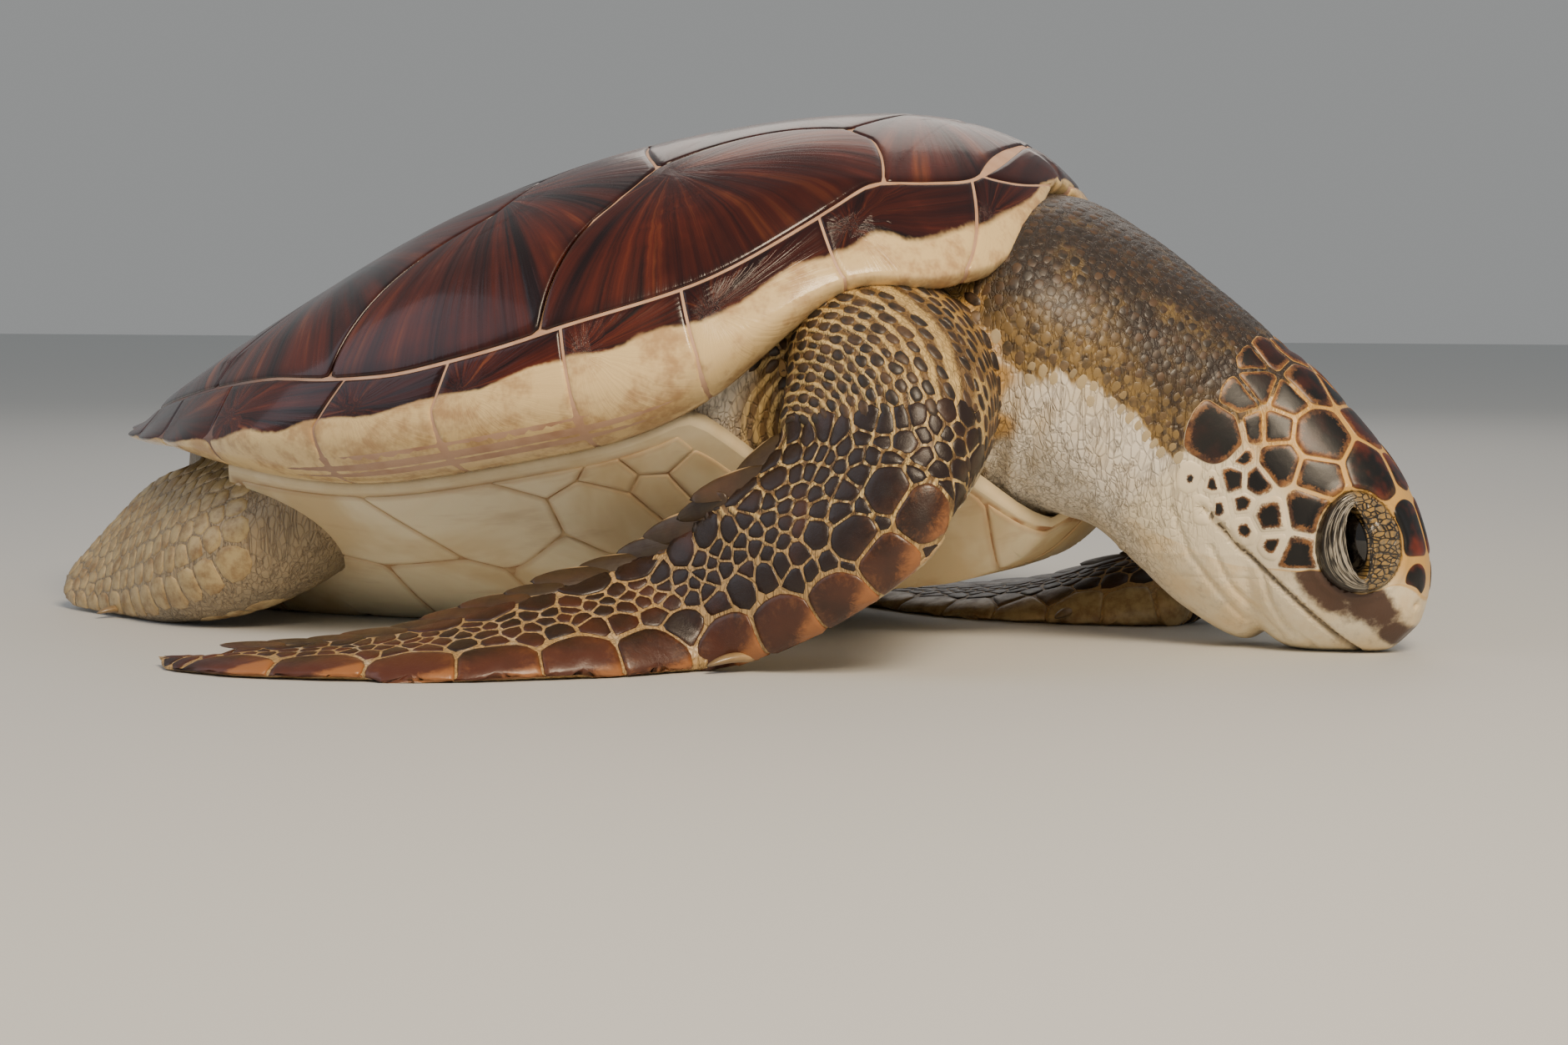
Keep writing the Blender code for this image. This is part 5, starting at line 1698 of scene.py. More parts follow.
def bakePatches(mesh, seeds, out, circle):
    # every plate is a patch three thousandths across at its root's place on the unwrapped skin
    patch = boxUnwrap(seeds, out)[:, None] + 0.0015 * circle[None]
    corners = np.empty(len(mesh.loops), np.int32)
    mesh.loops.foreach_get("vertex_index", corners)
    patch = patch.reshape(-1, 2)[corners].astype(np.float32)
    mesh.uv_layers.new(name="OFBake").data.foreach_set("uv", patch.ravel())


# ---- where the scales of the limbs sit

def partFrame(part, s, angle):
    # a point on a limb or the neck, its outward direction, and the directions along the part and around it
    def point(s, angle):
        return ovalPoint(neckRows, s, angle) if part == "neck" else limbPoint(part, s, angle)

    e = 0.02 if part == "neck" else 0.03
    here = point(s, angle)
    ds = point(s + e, angle) - point(s - e, angle)
    da = point(s, angle + e) - point(s, angle - e)
    middle = (point(s, 0 * s) + point(s, np.pi + 0 * s)) / 2
    return here, awayFrom(unit(np.cross(ds, da)), here - middle), unit(ds), unit(da)


def rowSeeds(name, upper, rows, sLow, sHigh, rng):
    # seeds along a flipper: share across it, spacing at the root and at the tip, size factor, raggedness
    parts = []
    for across, rootStep, tipStep, factor, ragged in rows:
        fine = np.linspace(sLow, sHigh, 500)
        angle = math.acos(1 - 2 * across) * (1 if upper else -1)
        line = limbPoint(name, fine, angle + 0 * fine)
        run = runAlong(line)
        step = rootStep + (tipStep - rootStep) * run / run[-1]
        turns = stepsAlong(run, step)
        count = int(turns[-1])
        stops = np.arange(count) + 0.35 + rng.uniform(0, 0.3) + rng.normal(0, 0.08, count) * ragged
        s = np.interp(stops, turns, fine)
        tilt = np.clip(across + rng.normal(0, 0.010, count) * ragged, 0.02, 0.98)
        angle = np.arccos(1 - 2 * tilt) * (1 if upper else -1)
        here, out, _, _ = partFrame(name, s, angle)
        chord = limbPoint(name, s, np.pi + 0 * s) - limbPoint(name, s, 0 * s)
        slope = chord / np.maximum((chord ** 2).sum(-1, keepdims=True), 1e-6)
        size = np.interp(s, fine, step) * factor
        parts.append((here, out, size, tilt, (s - sLow) / (sHigh - sLow), slope))
    return joined(parts)


def thinned(columns, keepOff):
    # drop every seed that stands too close to one already kept
    seeds, sizes = columns[0], columns[2]
    kept = []
    for i in range(len(seeds)):
        near = np.linalg.norm(seeds[kept] - seeds[i], axis=1) if kept else np.ones(1)
        room = keepOff * np.maximum(sizes[kept], sizes[i]) + 0.3 * np.minimum(sizes[kept], sizes[i])
        if not kept or (near > room).all():
            kept.append(i)
    return [column[kept] for column in columns]


plateSpec = dict(directions=26, rings=(0.30, 0.62, 0.84, 0.94, 1.0), seam=0.0002, reach=0.07, spread=1.7,
                 proud=0.0009, sink=0.00025, edge=0.0006, bigSize=0.018, power=24, facing=0.15, dome=0.02)
grainSpec = dict(plateSpec, directions=12, rings=(0.55, 0.88, 1.0), seam=0.0002, proud=0.0006, edge=0.0005,
                 power=20)
frontRows = (  # share across from the leading edge, spacing at the root and the tip, size, raggedness
    (0.070, 0.026, 0.048, 0.60, 0.3), (0.27, 0.024, 0.026, 0.54, 0.6), (0.43, 0.016, 0.014, 0.50, 1.0),
    (0.53, 0.0115, 0.0100, 0.50, 1.2), (0.61, 0.0095, 0.0090, 0.50, 1.2), (0.69, 0.0095, 0.0090, 0.50, 1.2),
    (0.77, 0.0110, 0.0110, 0.50, 1.0), (0.85, 0.0150, 0.0150, 0.50, 0.8), (0.945, 0.0230, 0.0240, 0.52, 0.4),
)
underRows = (
    (0.09, 0.026, 0.040, 0.56, 0.3), (0.29, 0.023, 0.024, 0.54, 0.6), (0.48, 0.020, 0.018, 0.52, 0.9),
    (0.66, 0.017, 0.015, 0.52, 0.9), (0.82, 0.017, 0.016, 0.52, 0.6), (0.95, 0.022, 0.024, 0.52, 0.3),
)
hindRows = (
    (0.07, 0.014, 0.013, 0.54, 0.6), (0.20, 0.012, 0.010, 0.52, 1.0), (0.32, 0.011, 0.009, 0.52, 1.2),
    (0.44, 0.010, 0.009, 0.52, 1.2), (0.56, 0.010, 0.009, 0.52, 1.2), (0.68, 0.010, 0.009, 0.52, 1.2),
    (0.80, 0.011, 0.010, 0.52, 1.0), (0.93, 0.013, 0.012, 0.52, 0.7),
)
limbLook = dict(black=colour(36, 22, 15), brown=colour(72, 42, 26), red=colour(88, 43, 26),
                edge=colour(158, 102, 58), seam=colour(206, 176, 130), pale=colour(206, 182, 132),
                paleDark=colour(150, 120, 78))


def limbMaterial(look):
    nodes, finish = newMaterial("limbScales")
    share, edge, ray = nodes.field("share"), nodes.field("edge"), nodes.field("ray", "Vector")
    across, distal, under, tint = nodes.fields("across", "distal", "under", "tint")
    mottle = nodes.grain(110, 5.0, 0.65)
    streaks = nodes.noise(ray, 4.0, 4.0, 0.7)
    patch = nodes.grain(40, 3.0, 0.55)
    front = nodes.spread(across, 0.36, 0.02)
    warm = front * 0.42 + distal * 0.40
    warm = warm + (patch - 0.5 + tint * 0.22) * 1.2
    tone = nodes.mix(nodes.spread(warm, 0.15, 0.75), look["black"],
                     nodes.mix(distal, look["brown"], look["red"]))
    light = share * 0.45 + streaks * 0.9
    tone = nodes.mix(nodes.spread(light, 0.70, 1.05) * (front * 0.40), tone, look["edge"])
    # painted highlight: a band of the light rim colour along the very leading edge
    tone = nodes.mix(nodes.spread(across + (streaks - 0.5) * 0.10, 0.050, -0.02), tone, look["edge"])
    pale = nodes.mix(nodes.spread(mottle, 0.35, 0.7), look["pale"], look["paleDark"])
    tone = nodes.mix(under, tone, pale)
    tone = nodes.mix(nodes.spread(edge, 0.40, 0.08), tone, look["seam"])
    relief = nodes.bump(mottle + streaks * 0.5, 0.0006, 0.5)
    return finish(Base_Color=tone, Roughness=nodes.spread(mottle, 0.3, 0.7, 0.30, 0.45), Normal=relief,
                  Coat_Weight=0.14, Coat_Roughness=0.25)


limbPaint = limbMaterial(limbLook)


def gapFillers(centre, reach, top, size, facing, rng):
    # many candidate seeds on the skin about a place, for the thinning to choose from
    points, out = places(skinMesh) - toRow, normals(skinMesh)
    near = np.linalg.norm(points - centre, axis=1) < reach
    near &= points[:, 2] < top[0] + top[1] * (points[:, 0] - centre[0])
    found = rng.permutation(np.nonzero(near & (out @ unit(np.array(facing)) > 0.05))[0])[:1500]
    n = len(found)
    grow = size * (1 + 0.5 * smooth(0.125, 0.085, points[found, 2]))
    return [points[found], out[found], grow, np.full(n, 0.5), np.zeros(n), np.zeros((n, 3)), np.zeros(n)]


plateSeeds = []


def coatLimb(name, parts, seed, filler=None, paleLead=0.0):
    # big plates and small ones on both faces of a limb, as two pieces; each part is a stretch of limb, the
    # face, its rows, first and last place along it, and how pale it is
    rng = np.random.default_rng(seed)
    found = []
    for blade, face, rows, sLow, sHigh, far, under in parts:
        columns = rowSeeds(blade, face, rows, sLow, sHigh, rng)
        columns[4] = columns[4] * far
        found.append(columns + [np.full(len(columns[0]), under)])
    if filler:
        found.append(gapFillers(*filler, rng))
    columns = joined(found)
    onSkin = wrapOn(columns[0] + toRow, skinPiece) - toRow
    keep = (onSkin[:, 2] > 0.0035) | (columns[1][:, 2] > -0.2)
    keep &= np.linalg.norm(onSkin - columns[0], axis=1) < 0.006
    if filler:   # nothing above the line where the shoulder's small scales begin
        keep &= onSkin[:, 2] < filler[2][0] + filler[2][1] * (onSkin[:, 0] - filler[0][0])
    columns[0] = onSkin
    here, out, size, across, distal, slope, under = thinned([column[keep] for column in columns], 0.78)
    # a leading edge bleached like the underside
    under = np.maximum(under, paleLead * smooth(0.34, 0.12, across))
    fields = dict(across=across, distal=distal, under=under, slope=slope)
    plateSeeds.append((here, size))
    big = size > 0.0085
    for key, pick, spec in (("plates", big, plateSpec), ("grains", ~big, grainSpec)):
        if not pick.any():
            continue
        mesh = scales(f"{name}_{key}", here, out, size, spec, skinPiece, fields, pick=pick)
        addPiece(mesh, limbPaint)
        print(mesh.name, int(pick.sum()), "scales", len(mesh.polygons), "faces")


armRows = (
    (0.05, 0.020, 0.022, 0.60, 0.2), (0.17, 0.017, 0.020, 0.56, 0.4), (0.29, 0.013, 0.016, 0.56, 0.5),
    (0.40, 0.0115, 0.012, 0.54, 0.6), (0.50, 0.0105, 0.011, 0.52, 0.8), (0.60, 0.0100, 0.010, 0.52, 0.8),
    (0.70, 0.0100, 0.010, 0.52, 0.8), (0.80, 0.0100, 0.010, 0.52, 0.6), (0.90, 0.0110, 0.011, 0.52, 0.4),
)
coatLimb("flipper_right",
         [("bladeRight", False, frontRows, 0.25, 7.9, 1.0, 0.0),
          ("armRight", False, armRows, 3.05, 3.95, 0.0, 0.0),
          ("bladeRight", True, underRows, 0.6, 7.9, 1.0, 0.85)], 11,
          ((0.232, -0.190, 0.095), 0.058, (0.113, 0.15), 0.0052, (0.1, -0.9, 0.5)))
coatLimb("flipper_left",
         [("bladeLeft", False, frontRows, 0.25, 7.9, 1.0, 0.0),
          ("armLeft", True, armRows, 2.9, 3.95, 0.0, 0.0),
          ("bladeLeft", True, underRows, 0.6, 7.9, 1.0, 0.85)], 12,
          ((0.318, 0.100, 0.040), 0.045, (0.090, 0.0), 0.0052, (0.8, 0.3, 0.5)), paleLead=0.8)
for name, limb, top, seed in (("hind_right", "hindRight", False, 13), ("hind_left", "hindLeft", True, 14)):
    coatLimb(name,
             [(limb, top, hindRows, 1.6, 6.8, 1.0, 0.8), (limb, not top, hindRows, 1.6, 6.8, 1.0, 0.9)],
             seed)


# ---- shoulder scales: rings of dark ovals about the root of each front flipper

shoulderSpec = dict(directions=12, rings=(0.55, 0.88, 1.0), seam=0.00025, reach=0.03, spread=1.45,
                    slim=0.46, proud=0.0006, sink=0.0003, edge=0.0005, bigSize=0.004, power=8, facing=0.2,
                    dome=0.03)
neckSpec = dict(shoulderSpec, slim=0.66, spread=1.30, seam=0.00030, proud=0.00015, sink=0.0003, dome=0.0)
# body part, first and last place along it, gap between rings at either end, length of a scale
ringRows = dict(
    shoulder_scales_right=("armRight", 0.30, 3.00, 0.0062, 0.0037, 2.0),
    shoulder_scales_left=("armLeft", 0.5, 3.2, 0.0060, 0.0040, 2.0),
    neck_scales=("neck", 0.25, 4.75, 0.0062, 0.0046, 1.35))


def ringSeeds(part, sLow, sHigh, rootGap, tipGap, longer, seed):
    # seeds in rings around a body part, every other ring shifted by half a scale
    rng = np.random.default_rng(seed)
    fine = np.linspace(sLow, sHigh, 300)
    ridge = partFrame(part, fine, np.pi / 2 + 0 * fine)[0]
    run = runAlong(ridge)
    gap = rootGap + (tipGap - rootGap) * run / run[-1]
    turns = stepsAlong(run, gap)
    parts = []
    for row in range(int(turns[-1])):
        s = float(np.interp(row + 0.5, turns, fine))
        step = float(np.interp(s, fine, gap)) * longer
        around = np.linspace(0, 2 * np.pi, 721)
        line = partFrame(part, s + 0 * around, around)[0]
        length = runAlong(line)
        count = int(length[-1] / step)
        stops = (np.arange(count) + 0.5 * (row % 2) + rng.normal(0, 0.10, count)) * step
        angle = np.interp(stops % length[-1], length, around)
        place = s + rng.normal(0, 0.015, count)
        here, out, _, lie = partFrame(part, place, angle)
        parts.append((here, out, lie, step * 0.5 * rng.uniform(0.86, 1.08, count)))
    return joined(parts)


def arcSeeds(centre, last, longer, seed):
    # seeds in arcs about the crook of the arm in the side view, laid on the outermost skin
    rng = np.random.default_rng(seed)
    points, out = places(skinMesh) - toRow, normals(skinMesh)
    arm = np.hypot(points[:, 0] - centre[0], points[:, 2] - centre[2]) < last + 0.01
    arm &= (out[:, 1] < -0.12) & (points[:, 1] < -0.085)
    points, out = points[arm], out[arm]
    parts = []
    for row, radius in enumerate(np.arange(crookFirst, last, crookGap)):
        step = crookGap * longer * (0.75 + 0.35 * radius / last)
        count = int(2 * np.pi * radius / step)
        angle = (np.arange(count) + 0.5 * (row % 2) + rng.normal(0, 0.12, count)) / count * 2 * np.pi
        angle = angle[(angle > math.radians(4)) & (angle < math.radians(222))]
        r = radius + rng.normal(0, 0.0003, len(angle))
        here = centre + np.stack([r * np.cos(angle), 0 * r, r * np.sin(angle)], -1)
        far = np.hypot(here[:, None, 0] - points[None, :, 0], here[:, None, 2] - points[None, :, 2])
        best = np.argmin(far + np.where(far < 0.004, points[None, :, 1] * 0.05, 1.0), 1)
        here[:, 1] = points[best, 1]
        lie = np.stack([-np.sin(angle), 0 * r, np.cos(angle)], -1)
        keep = far[np.arange(len(best)), best] < 0.004
        size = step * 0.5 * rng.uniform(0.8, 1.12, len(angle))
        parts.append((here[keep], out[best][keep], lie[keep], size[keep]))
    return joined(parts)


def visibleOnly(columns, target, off=0.0045):
    # keep the seeds that lie on the skin itself, clear of the shell and the floor, moved onto it
    here = columns[0]
    found = wrapOn(here + toRow, target) - toRow
    t, r = planToRim(here[:, 0] / shellSpec["length"], np.abs(here[:, 1]) / shellSpec["length"])
    free = (r > 0.80) | (here[:, 2] > toBody(dome(t, r))[:, 2])
    keep = (np.linalg.norm(found - here, axis=1) < off) & free & (here[:, 2] > 0.02)
    return [column[keep] for column in [found] + list(columns[1:])]


shoulderLook = dict(dark=colour(44, 36, 30), brown=colour(84, 62, 42), rim=colour(176, 138, 80),
                    pale=colour(224, 205, 166), darkSkinAndCrookShade=colour(58, 51, 45), ochre=colour(142, 115, 66))


def shoulderMaterial(look):
    nodes, finish = newMaterial("shoulderScales")
    share, tint, pale, darkSkinAndCrookShade, warm = nodes.fields("share", "tint", "pale", "darkSkinAndCrookShade", "warm")
    mottle = nodes.grain(130, 4.0, 0.65)
    blotch = nodes.grain(38, 4.0, 0.6)
    tone = nodes.mix(nodes.spread(mottle + tint * 0.25, 0.5, 0.85), look["dark"], look["brown"])
    # the scales' rims: tan, dark on the neck's dark skin, and darkened near the crook of the right arm and
    # the left elbow as painted shade
    tone = nodes.mix(nodes.spread(share, 0.84, 1.0), tone, nodes.mix(darkSkinAndCrookShade, look["rim"], look["darkSkinAndCrookShade"]))
    ochre = nodes.spread(blotch + (mottle - tint), 0.0, 0.75, 0.1, 0.85)
    tone = nodes.mix(warm * ochre, tone, look["ochre"])
    tone = nodes.mix(pale, tone, look["pale"])
    return finish(Base_Color=tone, Roughness=nodes.spread(mottle, 0.3, 0.7, 0.36, 0.56), Coat_Weight=0.10,
                  Coat_Roughness=0.3, Normal=nodes.bump(mottle, 0.0005, 0.6))


shoulderPaint = shoulderMaterial(shoulderLook)
for number, (name, (part, sLow, sHigh, rootGap, tipGap, longer)) in enumerate(ringRows.items()):
    columns = ringSeeds(part, sLow, sHigh, rootGap, tipGap, longer, 21 + number)
    if part == "armRight":   # rings on the sides turned away, arcs about the crook on the outer side
        away = columns[1][:, 1] > -0.15
        columns = joined([arcSeeds(crook, 0.092, longer, 24), [column[away] for column in columns]])
    here, out, lie, size = visibleOnly(columns, skinPiece)
    f = skinFields(here)
    if part == "neck":
        rough = np.random.default_rng(31).uniform(-0.2, 0.2, len(here))
        keep = (f["dark"] + rough > 0.35) & (f["inHead"] < 0.35)
        pale, darkSkinAndCrookShade, warm = 0.6 * (1 - smooth(0.40, 0.90, f["dark"])), smooth(0.5, 1.0, f["dark"]), f["warm"]
    else:
        keep = (f["inHead"] < 0.3) & (f["limb"] > 0.45)
        # painted shade: rims darkened near the crook of the right arm and near the left elbow
        pale, darkSkinAndCrookShade = smooth(0.25, 0.65, -out[:, 2]), smooth(0.045, 0.030, f["fold"]) * 0.7
        warm = 0 * size
    for plates, wide in plateSeeds:   # stay clear of the flippers' plates
        room = 0.95 * wide[None] + 0.4 * size[:, None]
        keep &= (np.linalg.norm(here[:, None] - plates[None], axis=2) > room).all(1)
    tones = dict(pale=pale[keep], darkSkinAndCrookShade=darkSkinAndCrookShade[keep], warm=warm[keep])
    here, out, lie, size = [column[keep] for column in (here, out, lie, size)]
    spec = neckSpec if part == "neck" else shoulderSpec
    mesh = scales(name, here, out, size, spec, skinPiece, tones, lie=lie)
    addPiece(mesh, shoulderPaint)
    print(mesh.name, len(here), "scales", len(mesh.polygons), "faces")


# ---- flaps: long overlapping scales along the trailing edges of the front flippers

flapSpec = dict(length=0.038, width=0.0125, thick=0.0026, gap=0.0190, lift=0.26, outset=0.0058,
                clear=0.0004, columns=14, rows=9)
flapRuns = dict(flaps_right=("bladeRight", 0.35, 7.3), flaps_left=("bladeLeft", 0.7, 7.3))


def flaps(name, blade, sLow, sHigh, spec):
    fine = np.linspace(sLow, sHigh, 500)
    line = limbPoint(blade, fine, np.pi + 0 * fine)
    run = runAlong(line)
    count = int(run[-1] / spec["gap"])
    s = np.interp((np.arange(count) + 0.5) * spec["gap"], run, fine)
    share = (s - sLow) / (sHigh - sLow)
    root = limbPoint(blade, s, np.pi + 0 * s)
    chord = limbPoint(blade, s, np.pi + 0 * s) - limbPoint(blade, s, 0 * s)
    wide = np.linalg.norm(chord, axis=1)
    chord = unit(chord)
    ahead = unit(limbPoint(blade, s + 0.15, np.pi + 0 * s) - limbPoint(blade, s - 0.15, np.pi + 0 * s))
    out = unit(np.cross(chord, ahead))
    scale = (0.55 + 0.45 * np.clip(wide / 0.09, 0, 1)) * (1 + 0.15 * np.sin(np.arange(count) * 2.4))
    along = unit(ahead + chord * spec["lift"] * 1.3)
    sideways = awayFrom(unit(np.cross(out, along)), chord)
    u = np.linspace(0, 1, spec["columns"] + 2)[1:-1]
    v = np.linspace(0, 2 * np.pi, 2 * spec["rows"], endpoint=False)
    half = np.sin(np.pi * u ** 0.8) ** 0.55
    section = np.stack([np.broadcast_to(u[:, None], (len(u), len(v))), half[:, None] * np.cos(v),
                        half[:, None] ** 0.6 * np.sin(v) * (1 - 0.35 * u[:, None])], -1).reshape(-1, 3)
    section = np.concatenate([section, [[0, 0, 0], [1, 0, 0]]])
    length, width = spec["length"] * scale, spec["width"] / 2 * scale
    base = root - chord * (width * 0.75 - spec["outset"] * scale)[:, None] - along * (length * 0.45)[:, None]
    verts = base[:, None] + along[:, None] * (length[:, None] * section[None, :, 0])[..., None]
    verts = verts + sideways[:, None] * (width[:, None] * section[None, :, 1])[..., None]
    verts = verts + out[:, None] * (spec["thick"] / 2 * section[None, :, 2] + spec["clear"])[..., None]
    n, k = len(u), len(v)
    step = np.arange(k)
    after, last = (step + 1) % k, (n - 1) * k
    tris = np.concatenate([fanFaces(n * k, step, after), fanFaces(n * k + 1, last + after, last + step)])
    size = len(section)
    # rim colour up to a few thousandths from the edge
    edge = (1 - np.abs(section[:, 1])) * spec["width"] * 160
    number = np.repeat(np.arange(count) * 2.37, size)
    ray = np.stack([np.tile(section[:, 1], count), np.tile(section[:, 0] * 0.3, count), number], -1)
    fields = dict(share=np.tile(np.abs(section[:, 1]), count), edge=np.tile(edge, count), ray=ray,
                  across=np.full(count * size, 0.9), distal=np.repeat(share * 0.6, size),
                  under=np.full(count * size, 0.06), tint=np.repeat(spacedTints(count), size))
    mesh = repeated(name, onFloor(verts), gridFaces(n, k, wrap=True), tris, fields)
    bakePatches(mesh, root, chord, np.stack([section[:, 0] * 2 - 1, section[:, 1]], -1))
    return faceOut(mesh)


for name, (blade, sLow, sHigh) in flapRuns.items():
    addPiece(flaps(name, blade, sLow, sHigh, flapSpec), limbPaint)


# ---- claws: one short curved nail on each limb

clawRows = dict(   # base, tip, width at the base
    claw_front_right=((0.184, -0.201, 0.0070), (0.172, -0.217, 0.0040), 0.008),
    claw_front_left=((0.252, 0.050, 0.0060), (0.247, 0.033, 0.0040), 0.009),
    claw_hind_right=((-0.214, -0.140, 0.0040), (-0.221, -0.156, 0.0030), 0.007),
    claw_hind_left=((-0.214, 0.140, 0.0040), (-0.221, 0.156, 0.0030), 0.007))


def clawMesh(name, base, tip, width):
    base, tip = np.array(base), np.array(tip)
    ahead = unit(tip - base)
    side = unit(np.cross(ahead, up))
    top = np.cross(side, ahead)
    u = np.linspace(-0.25, 0.985, 16)
    turn = np.linspace(0, 2 * np.pi, 20, endpoint=False)
    size = width / 2 * np.sqrt(np.clip(1 - np.clip(u, 0, 1) ** 1.7, 0, 1))
    core = base + (tip - base) * u[:, None] + top * (0.0012 * np.sin(np.pi * np.clip(u, 0, 1)))[:, None]
    section = np.cos(turn)[:, None] * side + 0.62 * np.sin(turn)[:, None] * top
    verts, quads, fans = tube(onFloor(core[:, None] + size[:, None, None] * section[None]))
    share = np.concatenate([np.repeat(np.clip(u, 0, 1), len(turn)), [0, 1]])
    return faceOut(meshFrom(name, verts, [quads, fans], dict(share=share)))


def clawMaterial():
    nodes, finish = newMaterial("claws")
    streak = nodes.grain(300, 3.0)
    tone = nodes.mix(nodes.field("share"), colour(150, 118, 78), colour(58, 40, 28))
    tone = nodes.mix(streak * 0.5, tone, colour(206, 178, 130))
    return finish(Base_Color=tone, Roughness=0.32, Coat_Weight=0.3, Coat_Roughness=0.15)


clawPaint = clawMaterial()
for name, (base, tip, width) in clawRows.items():
    addPiece(clawMesh(name, base, tip, width), clawPaint, (name,))
print("flaps and claws")


# ---- head scales: middles given for the right half, mirrored for the left

headScaleSpec = dict(directions=64, rings=(0.10, 0.25, 0.42, 0.58, 0.72, 0.83, 0.91, 0.965, 1.0),
                     seam=0.00025, reach=0.07, spread=1.45, proud=0.00075, sink=0.00045, edge=0.0009,
                     bigSize=0.012, power=26, facing=0.0, trials=48)
headScaleRows = (  # along, degrees down from the top, radius in mm, how far the black reaches, redness
    (0.0030, 52, 8.5, 0.75, 0.1), (0.0020, 67, 8.0, 0.72, 0.0), (0.0080, 87, 13.5, 0.84, 0.1),
    (0.0170, 41, 8.0, 0.78, 0.0), (0.0170, 71, 7.0, 0.70, 0.0), (0.0250, 60, 7.0, 0.80, 0.0),
    (0.0420, 40, 13.5, 0.82, 0.2), (0.0170, 18, 12.0, 0.80, 0.3), (0.0380, 71, 9.0, 0.78, 0.0),
    (0.0550, 58, 9.5, 0.80, 0.0), (0.0250, 84, 5.0, 0.55, 0.0), (0.0290, 92, 6.5, 0.66, 0.0),
    (0.0370, 85, 6.5, 0.70, 0.0), (0.0640, 76, 9.0, 0.74, 0.0), (0.0400, 96, 5.0, 0.50, 0.0),
    (0.0540, 91, 8.0, 0.55, 0.0), (0.0500, 104, 6.0, 0.35, 0.0), (0.0770, 92, 9.0, 0.72, 0.0),
    (0.0230, 102, 5.5, 0.40, 0.0), (0.0330, 107, 5.5, 0.38, 0.0), (0.0670, 26, 13.0, 0.86, 0.8),
    (0.1010, 16, 11.0, 0.88, 1.0), (0.1200, 30, 6.0, 0.80, 0.9), (0.0640, 98, 6.0, 0.40, 0.0),
    (-0.0060, 24, 9.0, 0.78, 0.2), (-0.0080, 44, 7.0, 0.74, 0.1), (0.0110, 110, 6.5, 0.20, 0.0),
    (0.0220, 118, 6.5, 0.12, 0.0), (0.0080, 126, 7.0, 0.10, 0.0),
)
headMiddleRows = ((0.0480, 0, 12.0, 0.86, 0.5), (0.0740, 0, 8.0, 0.86, 0.8), (-0.0020, 0, 9.0, 0.8, 0.3),
                  (0.0240, 0, 9.0, 0.84, 0.3))


def scaleGround(points):
    # above zero where the scales of the head may lie: off the eyes, the jaws and the mouth
    head = toHead(points)
    jaw = np.where(head[..., 0] > 0.060, jawEdge(head) - 0.0007, head[..., 2] - 0.2885)
    return np.minimum(np.minimum(jaw, (eyeShare(points) - 1.055) * 0.02), head[..., 2] - 0.282)


def headSeeds():
    rows = np.array(headScaleRows)
    rows = np.concatenate([rows, rows * np.array([1, -1, 1, 1, 1]), np.array(headMiddleRows)])
    along, angle, size, black, red = rows.T
    angle, size = np.radians(angle), size / 1000
    here = headPoint(along, angle)
    e = 0.003
    across = headPoint(along, angle + 0.06) - headPoint(along, angle - 0.06)
    forward = headPoint(along + e, angle) - headPoint(along - e, angle)
    centre = headToBody(along, 0 * along, 0.318 + 0 * along)
    out = awayFrom(unit(np.cross(forward, across)), here - centre)
    return wrapOn(here + toRow, skinPiece) - toRow, out, size, black, red


headLook = dict(black=colour(12, 9, 8), brown=colour(70, 44, 30), red=colour(112, 42, 22),
                warm=colour(146, 100, 56), creamTop=colour(214, 166, 88), creamSide=colour(241, 227, 196),
                line=colour(120, 92, 60))


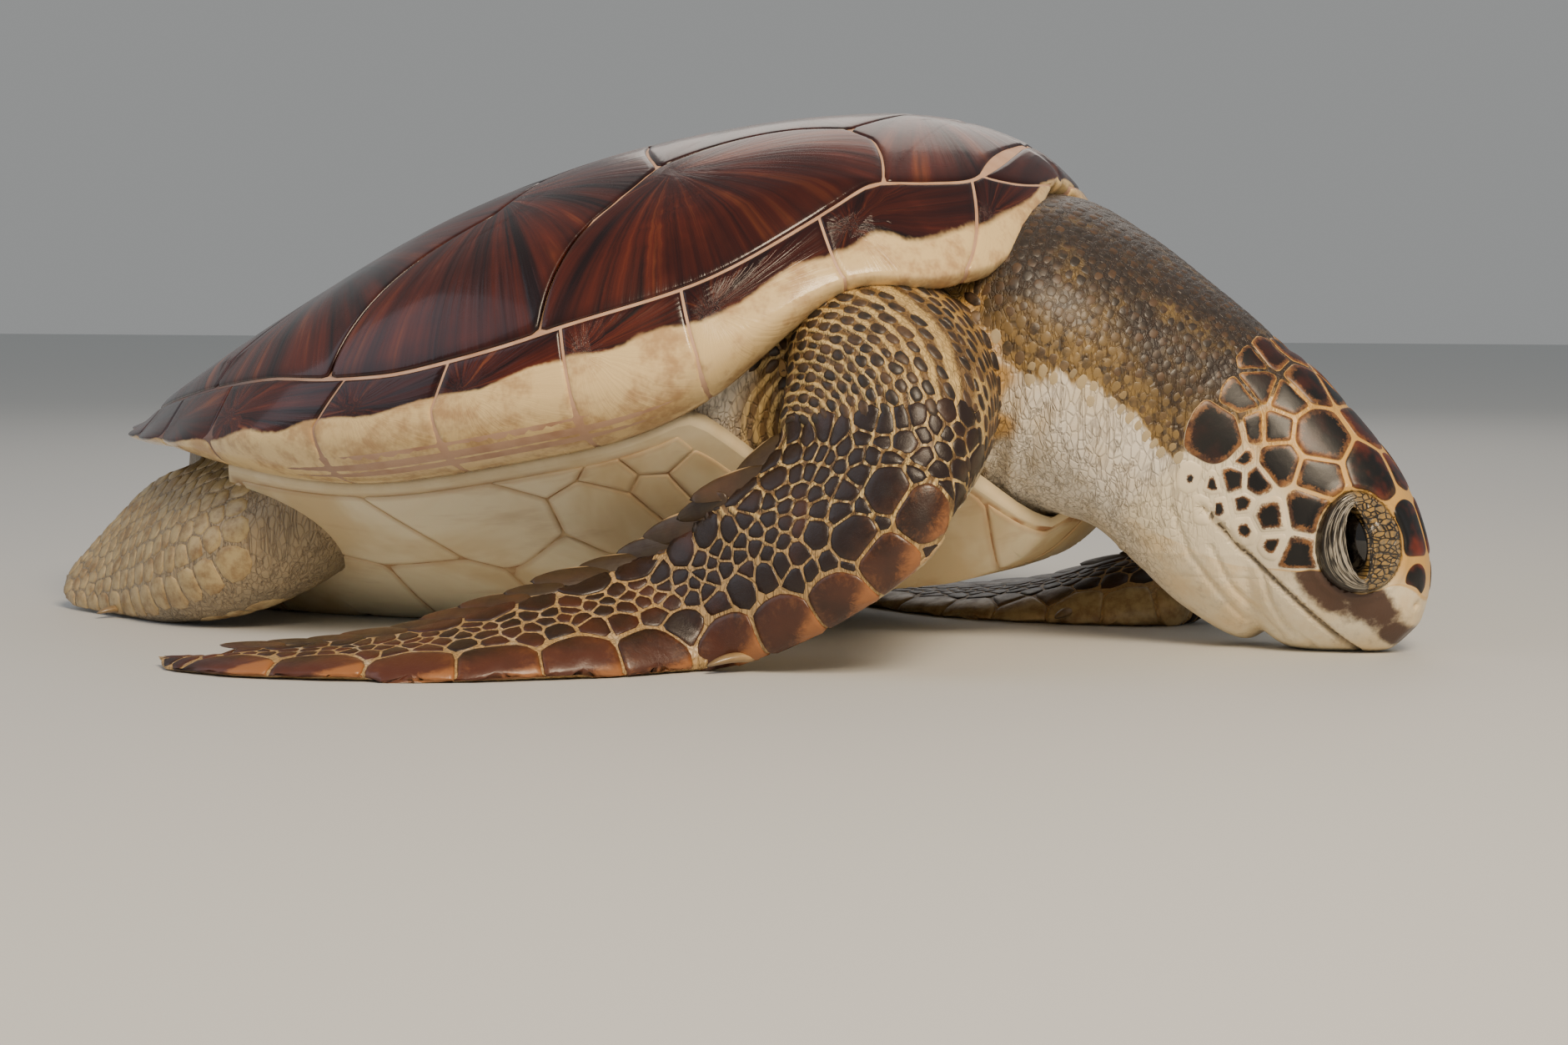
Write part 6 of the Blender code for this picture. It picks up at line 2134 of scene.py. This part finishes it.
def headScaleMaterial(look):
    nodes, finish = newMaterial("headScales")
    height = nodes.out(nodes.new("ShaderNodeGroup", node_tree=headPlaceTree), "Height")
    share, edge, ray = nodes.field("share"), nodes.field("edge"), nodes.field("ray", "Vector")
    black, red = nodes.fields("black", "red")
    feather = nodes.noise(nodes.stretched(ray, (1.0, 1.0, 1.3)), 6.5, 4.0, 0.75)
    mottle = nodes.grain(150, 5.0, 0.65)
    patch = nodes.grain(45, 3.0, 0.6)
    reach = share + (feather - 0.5) * 0.55
    reach = reach + (mottle - 0.5) * 0.22
    reach = reach / nodes.math("MAXIMUM", black, 0.1)
    cream = nodes.mix(nodes.spread(height, 318.0, 342.0), look["creamSide"], look["creamTop"])
    halo = nodes.mix(nodes.spread(mottle, 0.35, 0.65), look["brown"], look["warm"])
    ring = nodes.spread(reach, 1.02, 0.84)
    tone = nodes.mix(ring, nodes.mix(nodes.spread(reach, 1.42, 1.10), cream, halo), look["black"])
    flame = nodes.mix(nodes.spread(patch, 0.40, 0.66), look["black"], look["red"])
    tone = nodes.mix(red * nodes.spread(reach, 1.35, 1.1), tone, flame)
    rimTone = nodes.mix(red * 0.4, cream, look["warm"])
    tone = nodes.mix(nodes.spread(edge, 1.0, 0.45), tone, rimTone)
    tone = nodes.mix(nodes.spread(edge, 0.50, 0.10) * 0.65, tone, look["line"])
    relief = nodes.bump(mottle, 0.0005, 0.25)
    return finish(Base_Color=tone, Roughness=0.42, Normal=relief, Coat_Weight=0.12, Coat_Roughness=0.26)


def headScales():
    here, out, size, black, red = headSeeds()
    spec = dict(headScaleSpec, inside=scaleGround)
    return scales("head_scales", here, out, size, spec, skinPiece, dict(black=black, red=red))


addPiece(headScales(), headScaleMaterial(headLook))
print("head scales")


# ---- floor, light and camera

lampRows = (  # name, place, width, power, colour
    ("key", (1.3, -1.3, 1.7), 0.9, 64, (255, 232, 200)),
    ("fill", (-1.6, -1.2, 1.2), 1.8, 11, (222, 230, 245)),
    ("rim", (-0.6, 1.9, 1.5), 1.4, 8, (255, 244, 232)),
)


def floorAndLight():
    mesh = bpy.data.meshes.new("floor")
    mesh.from_pydata([(-9, -9, 0), (9, -9, 0), (9, 9, 0), (-9, 9, 0)], [], [(0, 1, 2, 3)])
    floor = linked("floor", mesh)
    _, finish = newMaterial("floorPaint")
    mesh.materials.append(finish(Base_Color=colour(206, 208, 208), Roughness=0.6))
    world = bpy.data.worlds.new("softSky")
    world.use_nodes = True
    sky = world.node_tree.nodes["Background"]
    sky.inputs[0].default_value = colour(220, 222, 222)
    sky.inputs[1].default_value = 0.42
    bpy.context.scene.world = world
    for name, place, size, power, tone in lampRows:
        lamp = bpy.data.lights.new(name, "AREA")
        lamp.size = size
        lamp.energy = power
        lamp.color = colour(*tone)[:3]
        light = linked(name, lamp)
        light.location = place
        light.rotation_euler = (Vector((0, 0, 0.1)) - Vector(place)).to_track_quat("-Z", "Y").to_euler()


cameraSpec = dict(place=(0.753, -1.356, 0.170), pitch=math.radians(-4.52), yaw=math.radians(25.47),
                  lens=65.62)


def addCamera():
    data = bpy.data.cameras.new("camera")
    data.lens = cameraSpec["lens"]
    data.sensor_width = 36.0
    camera = linked("camera", data)
    camera.location = Vector(np.array(cameraSpec["place"]) + toRow)
    camera.rotation_euler = (math.pi / 2 + cameraSpec["pitch"], 0.0, cameraSpec["yaw"])
    bpy.context.scene.camera = camera


floorAndLight()
addCamera()
